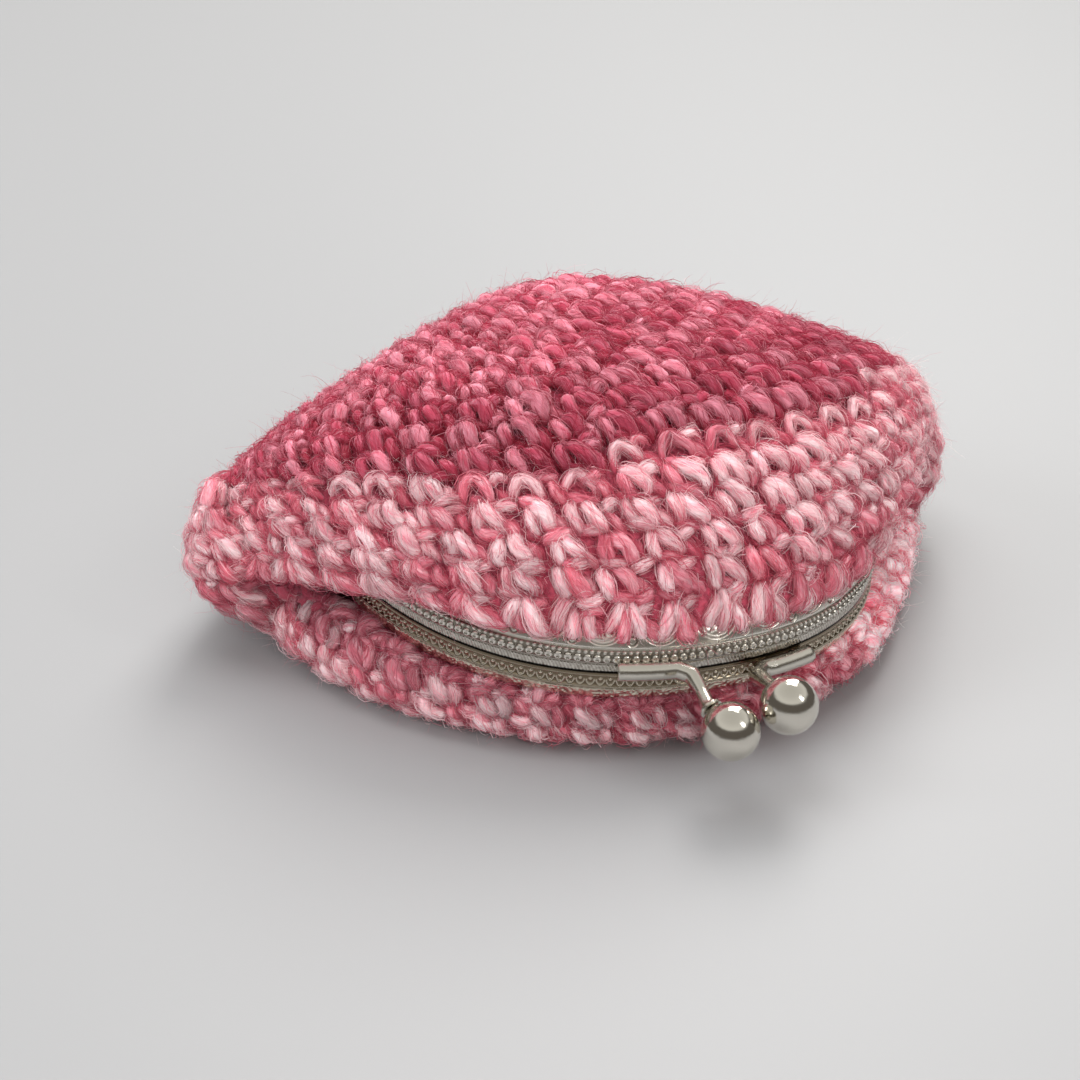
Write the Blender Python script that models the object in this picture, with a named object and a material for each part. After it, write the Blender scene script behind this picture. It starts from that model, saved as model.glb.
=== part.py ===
"""A crocheted purse on a pierced metal clasp frame, lying on its back.

Run it in Blender 4.5, from the text editor or with blender --background --python part.py.
Lengths are in metres, +Z is up, and the purse rests on Z = 0 with its mouth towards -Y.
The frame's two halves are strips rolled over and swept along one arc. The front half swings on
two rivets, and two crossed arms with ball ends snap past each other to keep the mouth shut.
The bag is worked in rounds, so both of its walls are lofts of ribs: each round is a rib that runs
from one side fold over the middle to the other, and the rounds go from the mouth to the base.
"""
import math

import bmesh
import bpy
import numpy as np
from mathutils import Vector
from mathutils.geometry import interpolate_bezier

# Clearances between pieces that touch or run past each other
GAP = 0.0003
CUT_OVERRUN = 0.001

# Clasp frame: its arc, seen square to the mouth
FRAME_WIDTH = 0.085
FRAME_DEPTH = 0.049
ARC_POWER = 2.23
FRAME_DROOP = math.radians(3.0)
HINGE_HEIGHT = 0.016

# Clasp frame: the section of one half, from the seam over the rolled wall to the sewing band
SHEET = 0.0007
ROLL_RISE = 0.0057
ROLL_LEAN = 0.0025
BAND_WIDTH = 0.0050
RIDGE_RISE = 0.0004
FRONT_RIDGE_HEIGHT = 0.0025
FRONT_RIDGE_WIDTH = 0.0012
REAR_RIDGE_HEIGHT = 0.0032
REAR_RIDGE_WIDTH = 0.0017
SEWING_HOLE = 0.0030
SEWING_PITCH = 0.0085
SEWING_END_MARGIN = 0.0060

# Hinges
LUG_RADIUS = 0.0024
LUG_SHEET = 0.0007
RIVET_RADIUS = 0.0010
RIVET_HEAD_RADIUS = 0.0018
RIVET_HEAD_RISE = 0.0006

# Ball clasp
BALL_DIAMETER = 0.0082
BALL_REACH = 0.0136
BALL_STAGGER = 0.00134
ROD_RADIUS = 0.00135
ROD_HEIGHT = 0.0012
ROD_START = 0.0146
ROD_END = 0.0066
NECK_RADIUS = 0.0010
COLLAR_RADIUS = 0.0017
COLLAR_LENGTH = 0.0009

# Bag: side folds, seen from above
BAG_HALF_WIDTH = 0.0637
FOLD_DEPTH_MOUTH = 0.0337
FOLD_DEPTH_BASE = 0.0495
FOLD_CENTRE_Y = -0.0005
FOLD_FIRST_ANGLE = math.radians(-2.0)
FOLD_LAST_ANGLE = math.radians(88.0)
FOLD_HEIGHT_MOUTH = 0.0160
FOLD_HEIGHT_BASE = 0.0082
SLUMP_SHARE = 0.17
SLUMP_START_Y = -0.0200
SLUMP_EASE = 0.0040

# Bag: the middle of each wall, seen from the side
BAG_TOP = 0.0451
BAG_TOP_Y = -0.0160
BAG_END_Y = 0.0505
FLAT_END_Y = 0.0180
MOUTH_BULGE = 0.0062
MOUTH_TURN = 0.0085
HEEL_HEIGHT = 0.0030

# Bag: fabric, and how it leaves the frame
FABRIC = 0.0040
LIP_TURN = math.radians(55.0)
LINING_TURN = math.radians(80.0)
FRONT_SAG = 0.0018
REAR_SAG = 0.0010
FRONT_SPLIT_SHARE = 0.52
MOUTH_BLEND_SHARE = 0.25
FRONT_LEAVES_LEFT_SHARE = 0.58
FRONT_LEAVES_RIGHT_SHARE = 0.76
REAR_LEAVES_SHARE = 0.86
REST_FLAT = 0.0015

# Bag: the worked rounds, which bulge between grooves but are pressed flat near the table
ROUND_GROOVE = 0.0015
PRESSED_HEIGHT = 0.0030
FIRST_ROUND_SHARE = 0.078
LIGHT_ZONE_SHARE = 0.20
LIGHT_ROUNDS = 4
ROSE_ROUNDS = 8
REAR_ROUNDS = 12
BACK_ROUNDS = 12

# Bag: how each round is drawn out from its middle to the side folds
FOLD_SIDE_POWER = 0.88
FOLD_SPREAD_POWER = 1.69
FOLD_SPREAD_LOSS = 0.45
FRONT_LIFT_POWER = 0.70
FRONT_LIFT_GAIN = 0.20
REAR_LIFT_POWER = 0.50
BACK_FALL_POWER = 0.53
FOLD_WALL_SHARE = 1.2

# How many facets the curved pieces get
ARC_STEPS = 64
ROLL_STEPS = 6
HOLE_SIDES = 12
ROD_SIDES = 3
ROD_STEPS = 5
BALL_SEGMENTS = 28
BALL_RINGS = 16
RIVET_STEPS = 16
LUG_STEPS = 14
LINING_STEPS = 20
PROFILE_POINTS = 160


def clear_scene():
    for obj in list(bpy.data.objects):
        bpy.data.objects.remove(obj, do_unlink=True)


def material(name, colour, roughness, metallic):
    """A plain Principled material."""
    made = bpy.data.materials.new(name)
    made.use_nodes = True
    shader = made.node_tree.nodes["Principled BSDF"]
    shader.inputs["Base Color"].default_value = (*colour, 1.0)
    shader.inputs["Roughness"].default_value = roughness
    shader.inputs["Metallic"].default_value = metallic
    return made


def mesh_object(name, points, faces, look):
    """A mesh object from world points, whose origin is moved later with set_origin."""
    mesh = bpy.data.meshes.new(name)
    mesh.from_pydata([tuple(map(float, p)) for p in points], [], faces)
    mesh.validate()
    mesh.update()
    obj = bpy.data.objects.new(name, mesh)
    bpy.context.scene.collection.objects.link(obj)
    mesh.materials.append(look)
    return obj


def set_origin(obj, place):
    """Moves an object's origin without moving its shape."""
    shift = Vector(place) - obj.location
    for vertex in obj.data.vertices:
        vertex.co -= shift
    obj.location = Vector(place)


def smooth_shade(obj, sharp_angle=math.radians(40)):
    obj.data.shade_smooth()
    obj.data.set_sharp_from_angle(angle=sharp_angle)


def hide_cutter(obj):
    obj.hide_render = True
    obj.display_type = "WIRE"


def apply_modifiers(obj):
    """Replaces an object's mesh by the one its modifiers make."""
    graph = bpy.context.evaluated_depsgraph_get()
    made = bpy.data.meshes.new_from_object(obj.evaluated_get(graph))
    obj.modifiers.clear()
    obj.data = made


def boolean(obj, other, operation):
    step = obj.modifiers.new(operation.title(), "BOOLEAN")
    step.operation = operation
    step.solver = "EXACT"
    step.object = other
    hide_cutter(other)
    bpy.context.view_layer.update()
    apply_modifiers(obj)
    bpy.data.objects.remove(other, do_unlink=True)


# The frame's arc and its own axes: along the hinge line, into the bag, and out of the front face


def arc_point(turn, inset):
    """A point of the arc and its inward direction, at turn -90 to 90 degrees from the middle."""
    half = FRAME_WIDTH / 2
    s, c = math.sin(turn), math.cos(turn)
    share = 2 / ARC_POWER
    along = half * math.copysign(abs(s) ** share, s)
    deep = -FRAME_DEPTH * abs(c) ** share
    slope_x = abs(along / half) ** (ARC_POWER - 1) / half * math.copysign(1, along)
    slope_y = -abs(deep / FRAME_DEPTH) ** (ARC_POWER - 1) / FRAME_DEPTH
    size = math.hypot(slope_x, slope_y)
    return along - inset * slope_x / size, deep - inset * slope_y / size


def from_frame(along, deep, out):
    """World place of a point given along the hinge line, into the bag, and out of the face."""
    up = deep * math.sin(FRAME_DROOP) + out * math.cos(FRAME_DROOP)
    back = deep * math.cos(FRAME_DROOP) - out * math.sin(FRAME_DROOP)
    return Vector((along, back, HINGE_HEIGHT + up))


def arc_turns(count):
    """Turns that space points evenly along the arc, hinge to hinge."""
    fine = np.linspace(-math.pi / 2, math.pi / 2, 40 * count)
    spots = np.array([arc_point(t, 0.0) for t in fine])
    run = np.concatenate([[0.0], np.cumsum(np.linalg.norm(np.diff(spots, axis=0), axis=1))])
    return np.interp(np.linspace(0.0, run[-1], count), run, fine)


def arc_length():
    spots = np.array([arc_point(t, 0.0) for t in arc_turns(ARC_STEPS)])
    return float(np.linalg.norm(np.diff(spots, axis=0), axis=1).sum())


def roll_point(turn, clearance):
    """(inset, out) of a place on the rolled wall's outer face, this far off it."""
    across, up = -math.cos(turn) / ROLL_LEAN, math.sin(turn) / ROLL_RISE
    size = math.hypot(across, up)
    inset = ROLL_LEAN * (1 - math.cos(turn)) + clearance * across / size
    return inset, ROLL_RISE * math.sin(turn) + clearance * up / size


def wall_height(inset):
    """How far out of the seam's plane the rolled wall's outer face lies at this inset."""
    share = min(inset / ROLL_LEAN, 1.0)
    return ROLL_RISE * math.sin(math.acos(1 - share))


def half_section(ridge_height, ridge_width):
    """The outline of one half's section as (inset, out) pairs, round from the seam's outer edge."""
    seam = GAP / 2
    turns = [math.pi / 2 * k / ROLL_STEPS for k in range(ROLL_STEPS + 1)]
    ridge = math.asin(ridge_height / ROLL_RISE)
    top = ridge_width / 2 / ROLL_RISE
    foot = top + RIDGE_RISE / ROLL_RISE
    outer = [(0.0, seam)]
    for t, rise in ((-foot, 0.0), (-top, RIDGE_RISE), (top, RIDGE_RISE), (foot, 0.0)):
        outer.append(roll_point(ridge + t, rise))
    outer += [roll_point(t, 0.0) for t in turns if t > ridge + foot]
    outer.append((ROLL_LEAN + BAND_WIDTH, ROLL_RISE))
    inner = [(ROLL_LEAN + BAND_WIDTH, ROLL_RISE - SHEET)]
    lean, rise = ROLL_LEAN - SHEET, ROLL_RISE - SHEET
    for t in reversed(turns):
        inner.append((SHEET + lean * (1 - math.cos(t)), seam + (rise - seam) * math.sin(t)))
    return outer + inner


def swept_strip(name, side, look):
    """One half's strip, its section swept along the arc. Side is 1 for the front half, -1 for the rear."""
    if side > 0:
        section = half_section(FRONT_RIDGE_HEIGHT, FRONT_RIDGE_WIDTH)
    else:
        section = half_section(REAR_RIDGE_HEIGHT, REAR_RIDGE_WIDTH)
    turns = arc_turns(ARC_STEPS)
    points, faces = [], []
    for turn in turns:
        for inset, out in section:
            along, deep = arc_point(turn, inset)
            points.append(from_frame(along, min(deep, -GAP), side * out))
    count = len(section)
    for i in range(len(turns) - 1):
        for k in range(count):
            near, far = i * count, (i + 1) * count
            faces.append([near + k, near + (k + 1) % count, far + (k + 1) % count, far + k])
    faces.append(list(range(count))[::-1])
    last = (len(turns) - 1) * count
    faces.append([last + k for k in range(count)])
    obj = mesh_object(name, points, faces, look)
    face_out(obj)
    return obj


def face_out(obj):
    """Turns a closed mesh's faces outwards."""
    work = bmesh.new()
    work.from_mesh(obj.data)
    bmesh.ops.recalc_face_normals(work, faces=work.faces)
    if work.calc_volume(signed=True) < 0:
        bmesh.ops.reverse_faces(work, faces=work.faces)
    work.to_mesh(obj.data)
    work.free()


def bar_between(name, start, end, radius, sides, look):
    """A round bar between two points."""
    axis = end - start
    work = bmesh.new()
    bmesh.ops.create_cone(
        work, cap_ends=True, segments=sides, radius1=radius, radius2=radius, depth=axis.length
    )
    turn = axis.to_track_quat("Z", "Y").to_matrix().to_4x4()
    bmesh.ops.transform(work, matrix=turn, verts=work.verts)
    bmesh.ops.translate(work, vec=(start + end) / 2, verts=work.verts)
    mesh = bpy.data.meshes.new(name)
    work.to_mesh(mesh)
    work.free()
    mesh.materials.append(look)
    obj = bpy.data.objects.new(name, mesh)
    bpy.context.scene.collection.objects.link(obj)
    return obj


def joined(objects, name):
    """One mesh object from several, whose bodies don't touch."""
    work = bmesh.new()
    for obj in objects:
        obj.data.transform(obj.matrix_world)
        work.from_mesh(obj.data)
    mesh = bpy.data.meshes.new(name)
    work.to_mesh(mesh)
    work.free()
    mesh.materials.append(objects[0].data.materials[0])
    for obj in objects:
        bpy.data.objects.remove(obj, do_unlink=True)
    made = bpy.data.objects.new(name, mesh)
    bpy.context.scene.collection.objects.link(made)
    return made


def sewing_holes(side, look):
    """Cutters for the row of round holes through the sewing band."""
    usable = arc_length() - 2 * SEWING_END_MARGIN
    spaces = int(usable // SEWING_PITCH)
    turns = arc_turns(ARC_STEPS)
    length = arc_length()
    first = (length - spaces * SEWING_PITCH) / 2
    inset = ROLL_LEAN + BAND_WIDTH / 2
    cutters = []
    for k in range(spaces + 1):
        place = (first + k * SEWING_PITCH) / length
        turn = float(np.interp(place, np.linspace(0.0, 1.0, ARC_STEPS), turns))
        along, deep = arc_point(turn, inset)
        low = from_frame(along, deep, side * (ROLL_RISE - SHEET - CUT_OVERRUN))
        high = from_frame(along, deep, side * (ROLL_RISE + CUT_OVERRUN))
        cutters.append(bar_between("hole", low, high, SEWING_HOLE / 2, HOLE_SIDES, look))
    return joined(cutters, "sewing_holes")


def lug_reach(side):
    """How far in from the strip's outer edge a half's lug lies: the rear lugs lie outside."""
    outer = SHEET + RIVET_HEAD_RISE + 2 * GAP
    return outer if side < 0 else outer + LUG_SHEET + GAP


def lug(side, end, look):
    """The round-ended plate that carries one half on its rivet. End is -1 left, 1 right."""
    half = FRAME_WIDTH / 2
    face = end * (half - lug_reach(side))
    back = face - end * LUG_SHEET
    root_out = side * (wall_height(lug_reach(side)) - SHEET / 2)
    outline = []
    for k in range(LUG_STEPS + 1):
        t = math.pi * k / LUG_STEPS
        outline.append((LUG_RADIUS * math.cos(t), -side * LUG_RADIUS * math.sin(t)))
    outline += [(-LUG_RADIUS * 2, root_out), (-GAP, root_out)]
    points = [from_frame(face, d, o) for d, o in outline]
    points += [from_frame(back, d, o) for d, o in outline]
    count = len(outline)
    faces = [list(range(count)), [count + k for k in range(count)][::-1]]
    for k in range(count):
        j = (k + 1) % count
        faces.append([k, j, count + j, count + k])
    obj = mesh_object("lug", points, faces, look)
    face_out(obj)
    return obj


def rivet_hole(end, look):
    half = FRAME_WIDTH / 2
    outer = from_frame(end * (half + CUT_OVERRUN), 0.0, 0.0)
    inner = from_frame(end * (half - lug_reach(1) - LUG_SHEET - CUT_OVERRUN), 0.0, 0.0)
    return bar_between("rivet_hole", inner, outer, RIVET_RADIUS + GAP, RIVET_STEPS, look)


def frame_half(name, side, look):
    """A rolled strip with its ridge, its sewing holes and two hinge lugs."""
    obj = swept_strip(name, side, look)
    boolean(obj, sewing_holes(side, look), "DIFFERENCE")
    for end in (-1, 1):
        boolean(obj, lug(side, end, look), "UNION")
        boolean(obj, rivet_hole(end, look), "DIFFERENCE")
    smooth_shade(obj)
    set_origin(obj, from_frame(0.0, 0.0, 0.0))
    return obj


def rivet(name, end, look):
    """A rivet through both lugs of one hinge, turned from a profile with a head on each side."""
    shank_end = lug_reach(1) + LUG_SHEET + GAP
    shank_start = lug_reach(-1) - GAP
    profile = [
        (0.0, shank_start - RIVET_HEAD_RISE),
        (RIVET_HEAD_RADIUS / 2, shank_start - RIVET_HEAD_RISE),
        (RIVET_HEAD_RADIUS, shank_start - RIVET_HEAD_RISE / 3),
        (RIVET_HEAD_RADIUS, shank_start),
        (RIVET_RADIUS, shank_start),
        (RIVET_RADIUS, shank_end),
        (RIVET_HEAD_RADIUS, shank_end),
        (RIVET_HEAD_RADIUS, shank_end + RIVET_HEAD_RISE / 3),
        (RIVET_HEAD_RADIUS / 2, shank_end + RIVET_HEAD_RISE),
        (0.0, shank_end + RIVET_HEAD_RISE),
    ]
    work = bmesh.new()
    row = [work.verts.new((radius, 0.0, -depth)) for radius, depth in profile]
    edges = [work.edges.new((row[k], row[k + 1])) for k in range(len(row) - 1)]
    bmesh.ops.spin(
        work,
        geom=row + edges,
        cent=(0.0, 0.0, 0.0),
        axis=(0.0, 0.0, 1.0),
        angle=2 * math.pi,
        steps=RIVET_STEPS,
        use_merge=True,
    )
    bmesh.ops.remove_doubles(work, verts=work.verts, dist=GAP / 100)
    mesh = bpy.data.meshes.new(name)
    work.to_mesh(mesh)
    work.free()
    mesh.materials.append(look)
    obj = bpy.data.objects.new(name, mesh)
    bpy.context.scene.collection.objects.link(obj)
    obj.rotation_euler = (0.0, end * math.pi / 2, 0.0)
    obj.location = from_frame(end * FRAME_WIDTH / 2, 0.0, 0.0)
    face_out(obj)
    smooth_shade(obj)
    return obj


# The ball clasp: each arm is soldered along its own half, beside the seam, and ends in a ball


def ball_centre(side):
    """The front half's ball lies left and low, the rear half's right and high, so they cross."""
    along = -side * (BALL_DIAMETER + GAP) / 2
    return from_frame(along, -FRAME_DEPTH - BALL_REACH, -side * BALL_STAGGER)


def arc_turn_at(along):
    """The turn at which the arc lies this far along the hinge line."""
    share = abs(along) / (FRAME_WIDTH / 2)
    return math.copysign(math.asin(share ** (ARC_POWER / 2)), along)


def clasp_arm(name, side, look):
    """A round arm: a rod along the seam that bends out of the frame into a neck and a collar."""
    seat = ROD_RADIUS + GAP
    path, radii = [], []
    for along in np.linspace(ROD_START, ROD_END, ROD_STEPS):
        turn = arc_turn_at(-side * along)
        spot = arc_point(turn, -seat)
        path.append(from_frame(*spot, side * ROD_HEIGHT))
        radii.append(ROD_RADIUS)
    centre = ball_centre(side)
    run = centre - path[-1]
    reach = run.length - BALL_DIAMETER / 2 - GAP
    end = path[-1] + run.normalized() * reach
    heading = (path[-1] - path[-2]).normalized()
    bend = path[-1] + heading * ROD_RADIUS + run.normalized() * ROD_RADIUS
    for spot, radius in (
        (bend, ROD_RADIUS),
        (bend.lerp(end, 0.5), NECK_RADIUS),
        (end - run.normalized() * COLLAR_LENGTH, NECK_RADIUS),
        (end - run.normalized() * COLLAR_LENGTH / 2, COLLAR_RADIUS),
        (end, COLLAR_RADIUS),
    ):
        path.append(spot)
        radii.append(radius)
    curve = bpy.data.curves.new(name, "CURVE")
    curve.dimensions = "3D"
    curve.bevel_depth = 1.0
    curve.bevel_resolution = ROD_SIDES
    curve.use_fill_caps = True
    spline = curve.splines.new("POLY")
    spline.points.add(len(path) - 1)
    for point, spot, radius in zip(spline.points, path, radii):
        point.co = (*spot, 1.0)
        point.radius = radius
    curve.materials.append(look)
    obj = bpy.data.objects.new(name, curve)
    bpy.context.scene.collection.objects.link(obj)
    return as_mesh(obj)


def as_mesh(obj):
    """Turns a curve object into a mesh object of the same name."""
    graph = bpy.context.evaluated_depsgraph_get()
    mesh = bpy.data.meshes.new_from_object(obj.evaluated_get(graph))
    name = obj.name
    bpy.data.objects.remove(obj, do_unlink=True)
    made = bpy.data.objects.new(name, mesh)
    bpy.context.scene.collection.objects.link(made)
    work = bmesh.new()
    work.from_mesh(mesh)
    bmesh.ops.remove_doubles(work, verts=work.verts, dist=GAP / 100)
    work.to_mesh(mesh)
    work.free()
    face_out(made)
    smooth_shade(made)
    return made


def clasp_ball(name, side, look):
    work = bmesh.new()
    bmesh.ops.create_uvsphere(
        work, u_segments=BALL_SEGMENTS, v_segments=BALL_RINGS, radius=BALL_DIAMETER / 2
    )
    mesh = bpy.data.meshes.new(name)
    work.to_mesh(mesh)
    work.free()
    mesh.materials.append(look)
    mesh.shade_smooth()
    obj = bpy.data.objects.new(name, mesh)
    bpy.context.scene.collection.objects.link(obj)
    obj.location = ball_centre(side)
    return obj


# The bag's walls. A place on a wall is a share s from the left side fold (-1) over the middle (0)
# to the right side fold (1), and a share r from the mouth (0) to the base (1). Depth is how far
# the place lies inside the outer face: 0 on it, FABRIC on the inner face.

def side_fold(r, depth):
    """The fold where the two walls meet, on the right side."""
    angle = FOLD_FIRST_ANGLE + (FOLD_LAST_ANGLE - FOLD_FIRST_ANGLE) * r
    x = (BAG_HALF_WIDTH - FOLD_WALL_SHARE * depth) * math.cos(angle)
    reach = FOLD_DEPTH_MOUTH + (FOLD_DEPTH_BASE - FOLD_DEPTH_MOUTH) * r * r
    y = FOLD_CENTRE_Y + (reach - depth) * math.sin(angle)
    return x, y, FOLD_HEIGHT_MOUTH + (FOLD_HEIGHT_BASE - FOLD_HEIGHT_MOUTH) * r


def evenly(points):
    """Turns a profile into a function of the share of its length."""
    points = np.array(points)
    run = np.concatenate([[0.0], np.cumsum(np.linalg.norm(np.diff(points, axis=0), axis=1))])
    run /= run[-1]
    return lambda r: (np.interp(r, run, points[:, 0]), np.interp(r, run, points[:, 1]))


def front_middle(depth):
    """(y, z) down the middle of the front wall: up from the frame, over the crown, down to the base."""
    start = from_frame(0.0, -FRAME_DEPTH + ROLL_LEAN + GAP, ROLL_RISE)
    y_start, z_start = start.y + depth, start.z + depth / 8
    y_end = BAG_END_Y - depth
    points = []
    for k in range(PROFILE_POINTS + 1):
        angle = math.pi * (k / PROFILE_POINTS - 0.5)
        s, c = math.sin(angle), max(math.cos(angle), 0.0)
        if s < 0:
            y = BAG_TOP_Y + (BAG_TOP_Y - y_start) * s
            z = z_start + (BAG_TOP - depth - z_start) * c
        else:
            y = BAG_TOP_Y + (y_end - BAG_TOP_Y) * s
            z = FOLD_HEIGHT_BASE + (BAG_TOP - depth - FOLD_HEIGHT_BASE) * c**BACK_FALL_POWER
        points.append((y, z))
    return evenly(points)


def rear_middle(depth):
    """(y, z) down the middle of the rear wall: out below the frame, along the table, up to the base."""
    inset, out = roll_point(LIP_TURN, GAP)
    start = from_frame(0.0, -FRAME_DEPTH + inset, -out)
    y_start, z_start = start.y + depth / 3, start.z - depth / 3
    floor = depth - REST_FLAT
    y_end = BAG_END_Y - depth
    bulge = MOUTH_BULGE * (1 - depth / MOUTH_BULGE)
    knots = [
        (y_start, z_start),
        (y_start - bulge, z_start),
        (y_start - bulge - HEEL_HEIGHT / 2, floor),
        (y_start + MOUTH_TURN, floor),
    ]
    heel = [
        (FLAT_END_Y, floor),
        (FLAT_END_Y + (y_end - FLAT_END_Y) / 2, floor),
        (y_end, HEEL_HEIGHT + depth),
        (y_end, FOLD_HEIGHT_BASE),
    ]
    points = []
    for four in (knots, heel):
        four = [Vector((y, z, 0.0)) for y, z in four]
        points += [(p.x, p.y) for p in interpolate_bezier(*four, PROFILE_POINTS // 2)]
    return evenly(points)


MIDDLES = {
    (side, depth): (front_middle if side > 0 else rear_middle)(depth)
    for side in (1, -1)
    for depth in (0.0, FABRIC)
}


def mouth_place(side, s, depth):
    """Where a wall's edge starts: on the frame's rolled wall, and past its end on the free lip."""
    if side < 0:
        leaves = REAR_LEAVES_SHARE
    else:
        leaves = FRONT_LEAVES_LEFT_SHARE if s < 0 else FRONT_LEAVES_RIGHT_SHARE
    inset, out = roll_point(LINING_TURN if depth else LIP_TURN, GAP)
    on_arc = math.copysign(min(abs(s), leaves), s)
    along, deep = arc_point(on_arc * math.pi / 2, inset)
    place = from_frame(along, deep, side * out)
    past = (abs(s) - leaves) / (1 - leaves)
    if past <= 0:
        return np.array(place)
    tip = side_fold(0.0, depth)
    droop = FRONT_SAG if side > 0 else REAR_SAG
    curl = 1 - math.cos(past * math.pi / 2)
    x = place.x + (math.copysign(tip[0], s) - place.x) * past
    y = place.y + (tip[1] - place.y) * past
    z = place.z + (tip[2] - place.z) * curl - droop * math.sin(past * math.pi)
    return np.array((x, y, z))


def wall_place(side, s, r, depth):
    """A place on the front (side 1) or rear (side -1) wall."""
    angle = abs(s) * math.pi / 2
    c = max(math.cos(angle), 0.0)
    fold_x, fold_y, fold_z = side_fold(r, depth)
    middle_y, middle_z = MIDDLES[(side, depth)](r)
    lift = FRONT_LIFT_POWER + FRONT_LIFT_GAIN * r if side > 0 else REAR_LIFT_POWER
    x = math.copysign(fold_x * math.sin(angle) ** FOLD_SIDE_POWER, s)
    y = fold_y + (middle_y - fold_y) * c ** (FOLD_SPREAD_POWER - FOLD_SPREAD_LOSS * r)
    z = fold_z + (middle_z - fold_z) * c**lift
    slump = y - SLUMP_START_Y
    x += SLUMP_SHARE * (slump + math.hypot(slump, SLUMP_EASE)) / 2
    full = np.array((x, y, z))
    share = 1 - (1 - min(r / MOUTH_BLEND_SHARE, 1.0)) ** 2
    edge = mouth_place(side, s, depth)
    place = edge + (full - edge) * share
    if side < 0:
        place[2] = max(place[2], depth)
    return place


def even_shares():
    """Shares from fold to fold, evenly spaced along a full round, two for each step of the lining."""
    fine = np.linspace(-1.0, 1.0, PROFILE_POINTS + 1)
    spots = np.array([wall_place(1, s, FRONT_SPLIT_SHARE / 2, 0.0) for s in fine])
    run = np.concatenate([[0.0], np.cumsum(np.linalg.norm(np.diff(spots, axis=0), axis=1))])
    return np.interp(np.linspace(0.0, run[-1], 2 * LINING_STEPS + 1), run, fine)


SHARES = even_shares()


def inner_face(side, rounds, lift=0.0):
    """The plain inner face: a row of places for each edge of a round."""
    up = np.array((0.0, 0.0, lift))
    return [[wall_place(side, s, r, FABRIC) + up for s in SHARES[::2]] for r in rounds]


def outer_face(side, rounds, lift=0.0):
    """The ribbed outer face: a row for each groove, from the first round's end, and for each crest."""
    up = np.array((0.0, 0.0, lift))
    count = 2 * len(rounds) - 1
    lines = np.interp(np.arange(count) / 2, np.arange(len(rounds)), rounds)
    rows = []
    for k, r in enumerate(lines):
        dip = 0.0 if k % 2 or r == 0 else ROUND_GROOVE
        row = []
        for s in SHARES:
            outer, inner = wall_place(side, s, r, 0.0), wall_place(side, s, r, FABRIC)
            free = min(outer[2] / PRESSED_HEIGHT, 1.0)
            row.append(outer + (inner - outer) * free * dip / FABRIC + up)
        rows.append(row)
    return rows


def paired(rows):
    """A lining's places, repeated so that there is one for each place of the outer face."""
    across = range(2 * len(rows[0]) - 1)
    down = range(2 * len(rows) - 1)
    return [[rows[(i + 1) // 2][(k + 1) // 2] for k in across] for i in down]


def split_gap_share():
    """A gap at the front wall's edge, as a share of the way from the mouth to the base."""
    fold = np.array([side_fold(r, 0.0) for r in np.linspace(0.0, 1.0, PROFILE_POINTS)])
    return 2 * GAP / float(np.linalg.norm(np.diff(fold, axis=0), axis=1).sum())


def worked_sheet(name, grids, look):
    """A closed solid from grids of places that meet along their edges."""
    work = bmesh.new()
    for rows in grids:
        corners = [[work.verts.new(place) for place in row] for row in rows]
        for low, high in zip(corners, corners[1:]):
            for k in range(len(low) - 1):
                work.faces.new((low[k], low[k + 1], high[k + 1], high[k]))
    bmesh.ops.remove_doubles(work, verts=work.verts, dist=GAP / 100)
    mesh = bpy.data.meshes.new(name)
    work.to_mesh(mesh)
    work.free()
    mesh.materials.append(look)
    obj = bpy.data.objects.new(name, mesh)
    bpy.context.scene.collection.objects.link(obj)
    face_out(obj)
    smooth_shade(obj, math.radians(100))
    return obj


def border(rows):
    """The free edge of a sheet: along its first row, up one side, back along its last, down the other."""
    right = [row[-1] for row in rows]
    left = [row[0] for row in rows]
    return rows[0] + right[1:] + rows[-1][::-1][1:] + left[::-1][1:]


def front_wall(name, look):
    """The front wall from the frame to a little past the hinge line: it bends when the purse opens."""
    last = FRONT_SPLIT_SHARE - split_gap_share()
    light = np.linspace(FIRST_ROUND_SHARE, LIGHT_ZONE_SHARE, LIGHT_ROUNDS + 1)
    rose = np.linspace(LIGHT_ZONE_SHARE, last, ROSE_ROUNDS + 1)
    rounds = [0.0, *light, *rose[1:]]
    outer, inner = outer_face(1, rounds, GAP), inner_face(1, rounds, GAP)
    return worked_sheet(name, (outer, inner, (border(outer), border(paired(inner)))), look)


def opening_edge(rear, back):
    """The pouch's free edge: along its mouth, up one fold, over the front wall and down the other fold."""
    turn = len(rear) - len(back) + 1
    right = [row[-1] for row in rear[:turn]]
    left = [row[0] for row in rear[:turn]]
    return rear[0] + right[1:] + back[0][::-1][1:] + left[::-1][1:]


def pouch(name, look):
    """The rear wall, the base and the back of the front wall in one worked piece, open at the front."""
    before = np.linspace(0.0, FRONT_SPLIT_SHARE, REAR_ROUNDS + 1)
    after = np.linspace(FRONT_SPLIT_SHARE, 1.0, BACK_ROUNDS + 1)
    rounds = [*before, *after[1:]]
    outer = outer_face(-1, rounds), outer_face(1, after)
    inner = inner_face(-1, rounds), inner_face(1, after)
    edges = opening_edge(*outer), opening_edge(paired(inner[0]), paired(inner[1]))
    return worked_sheet(name, (*outer, *inner, edges), look)


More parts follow.
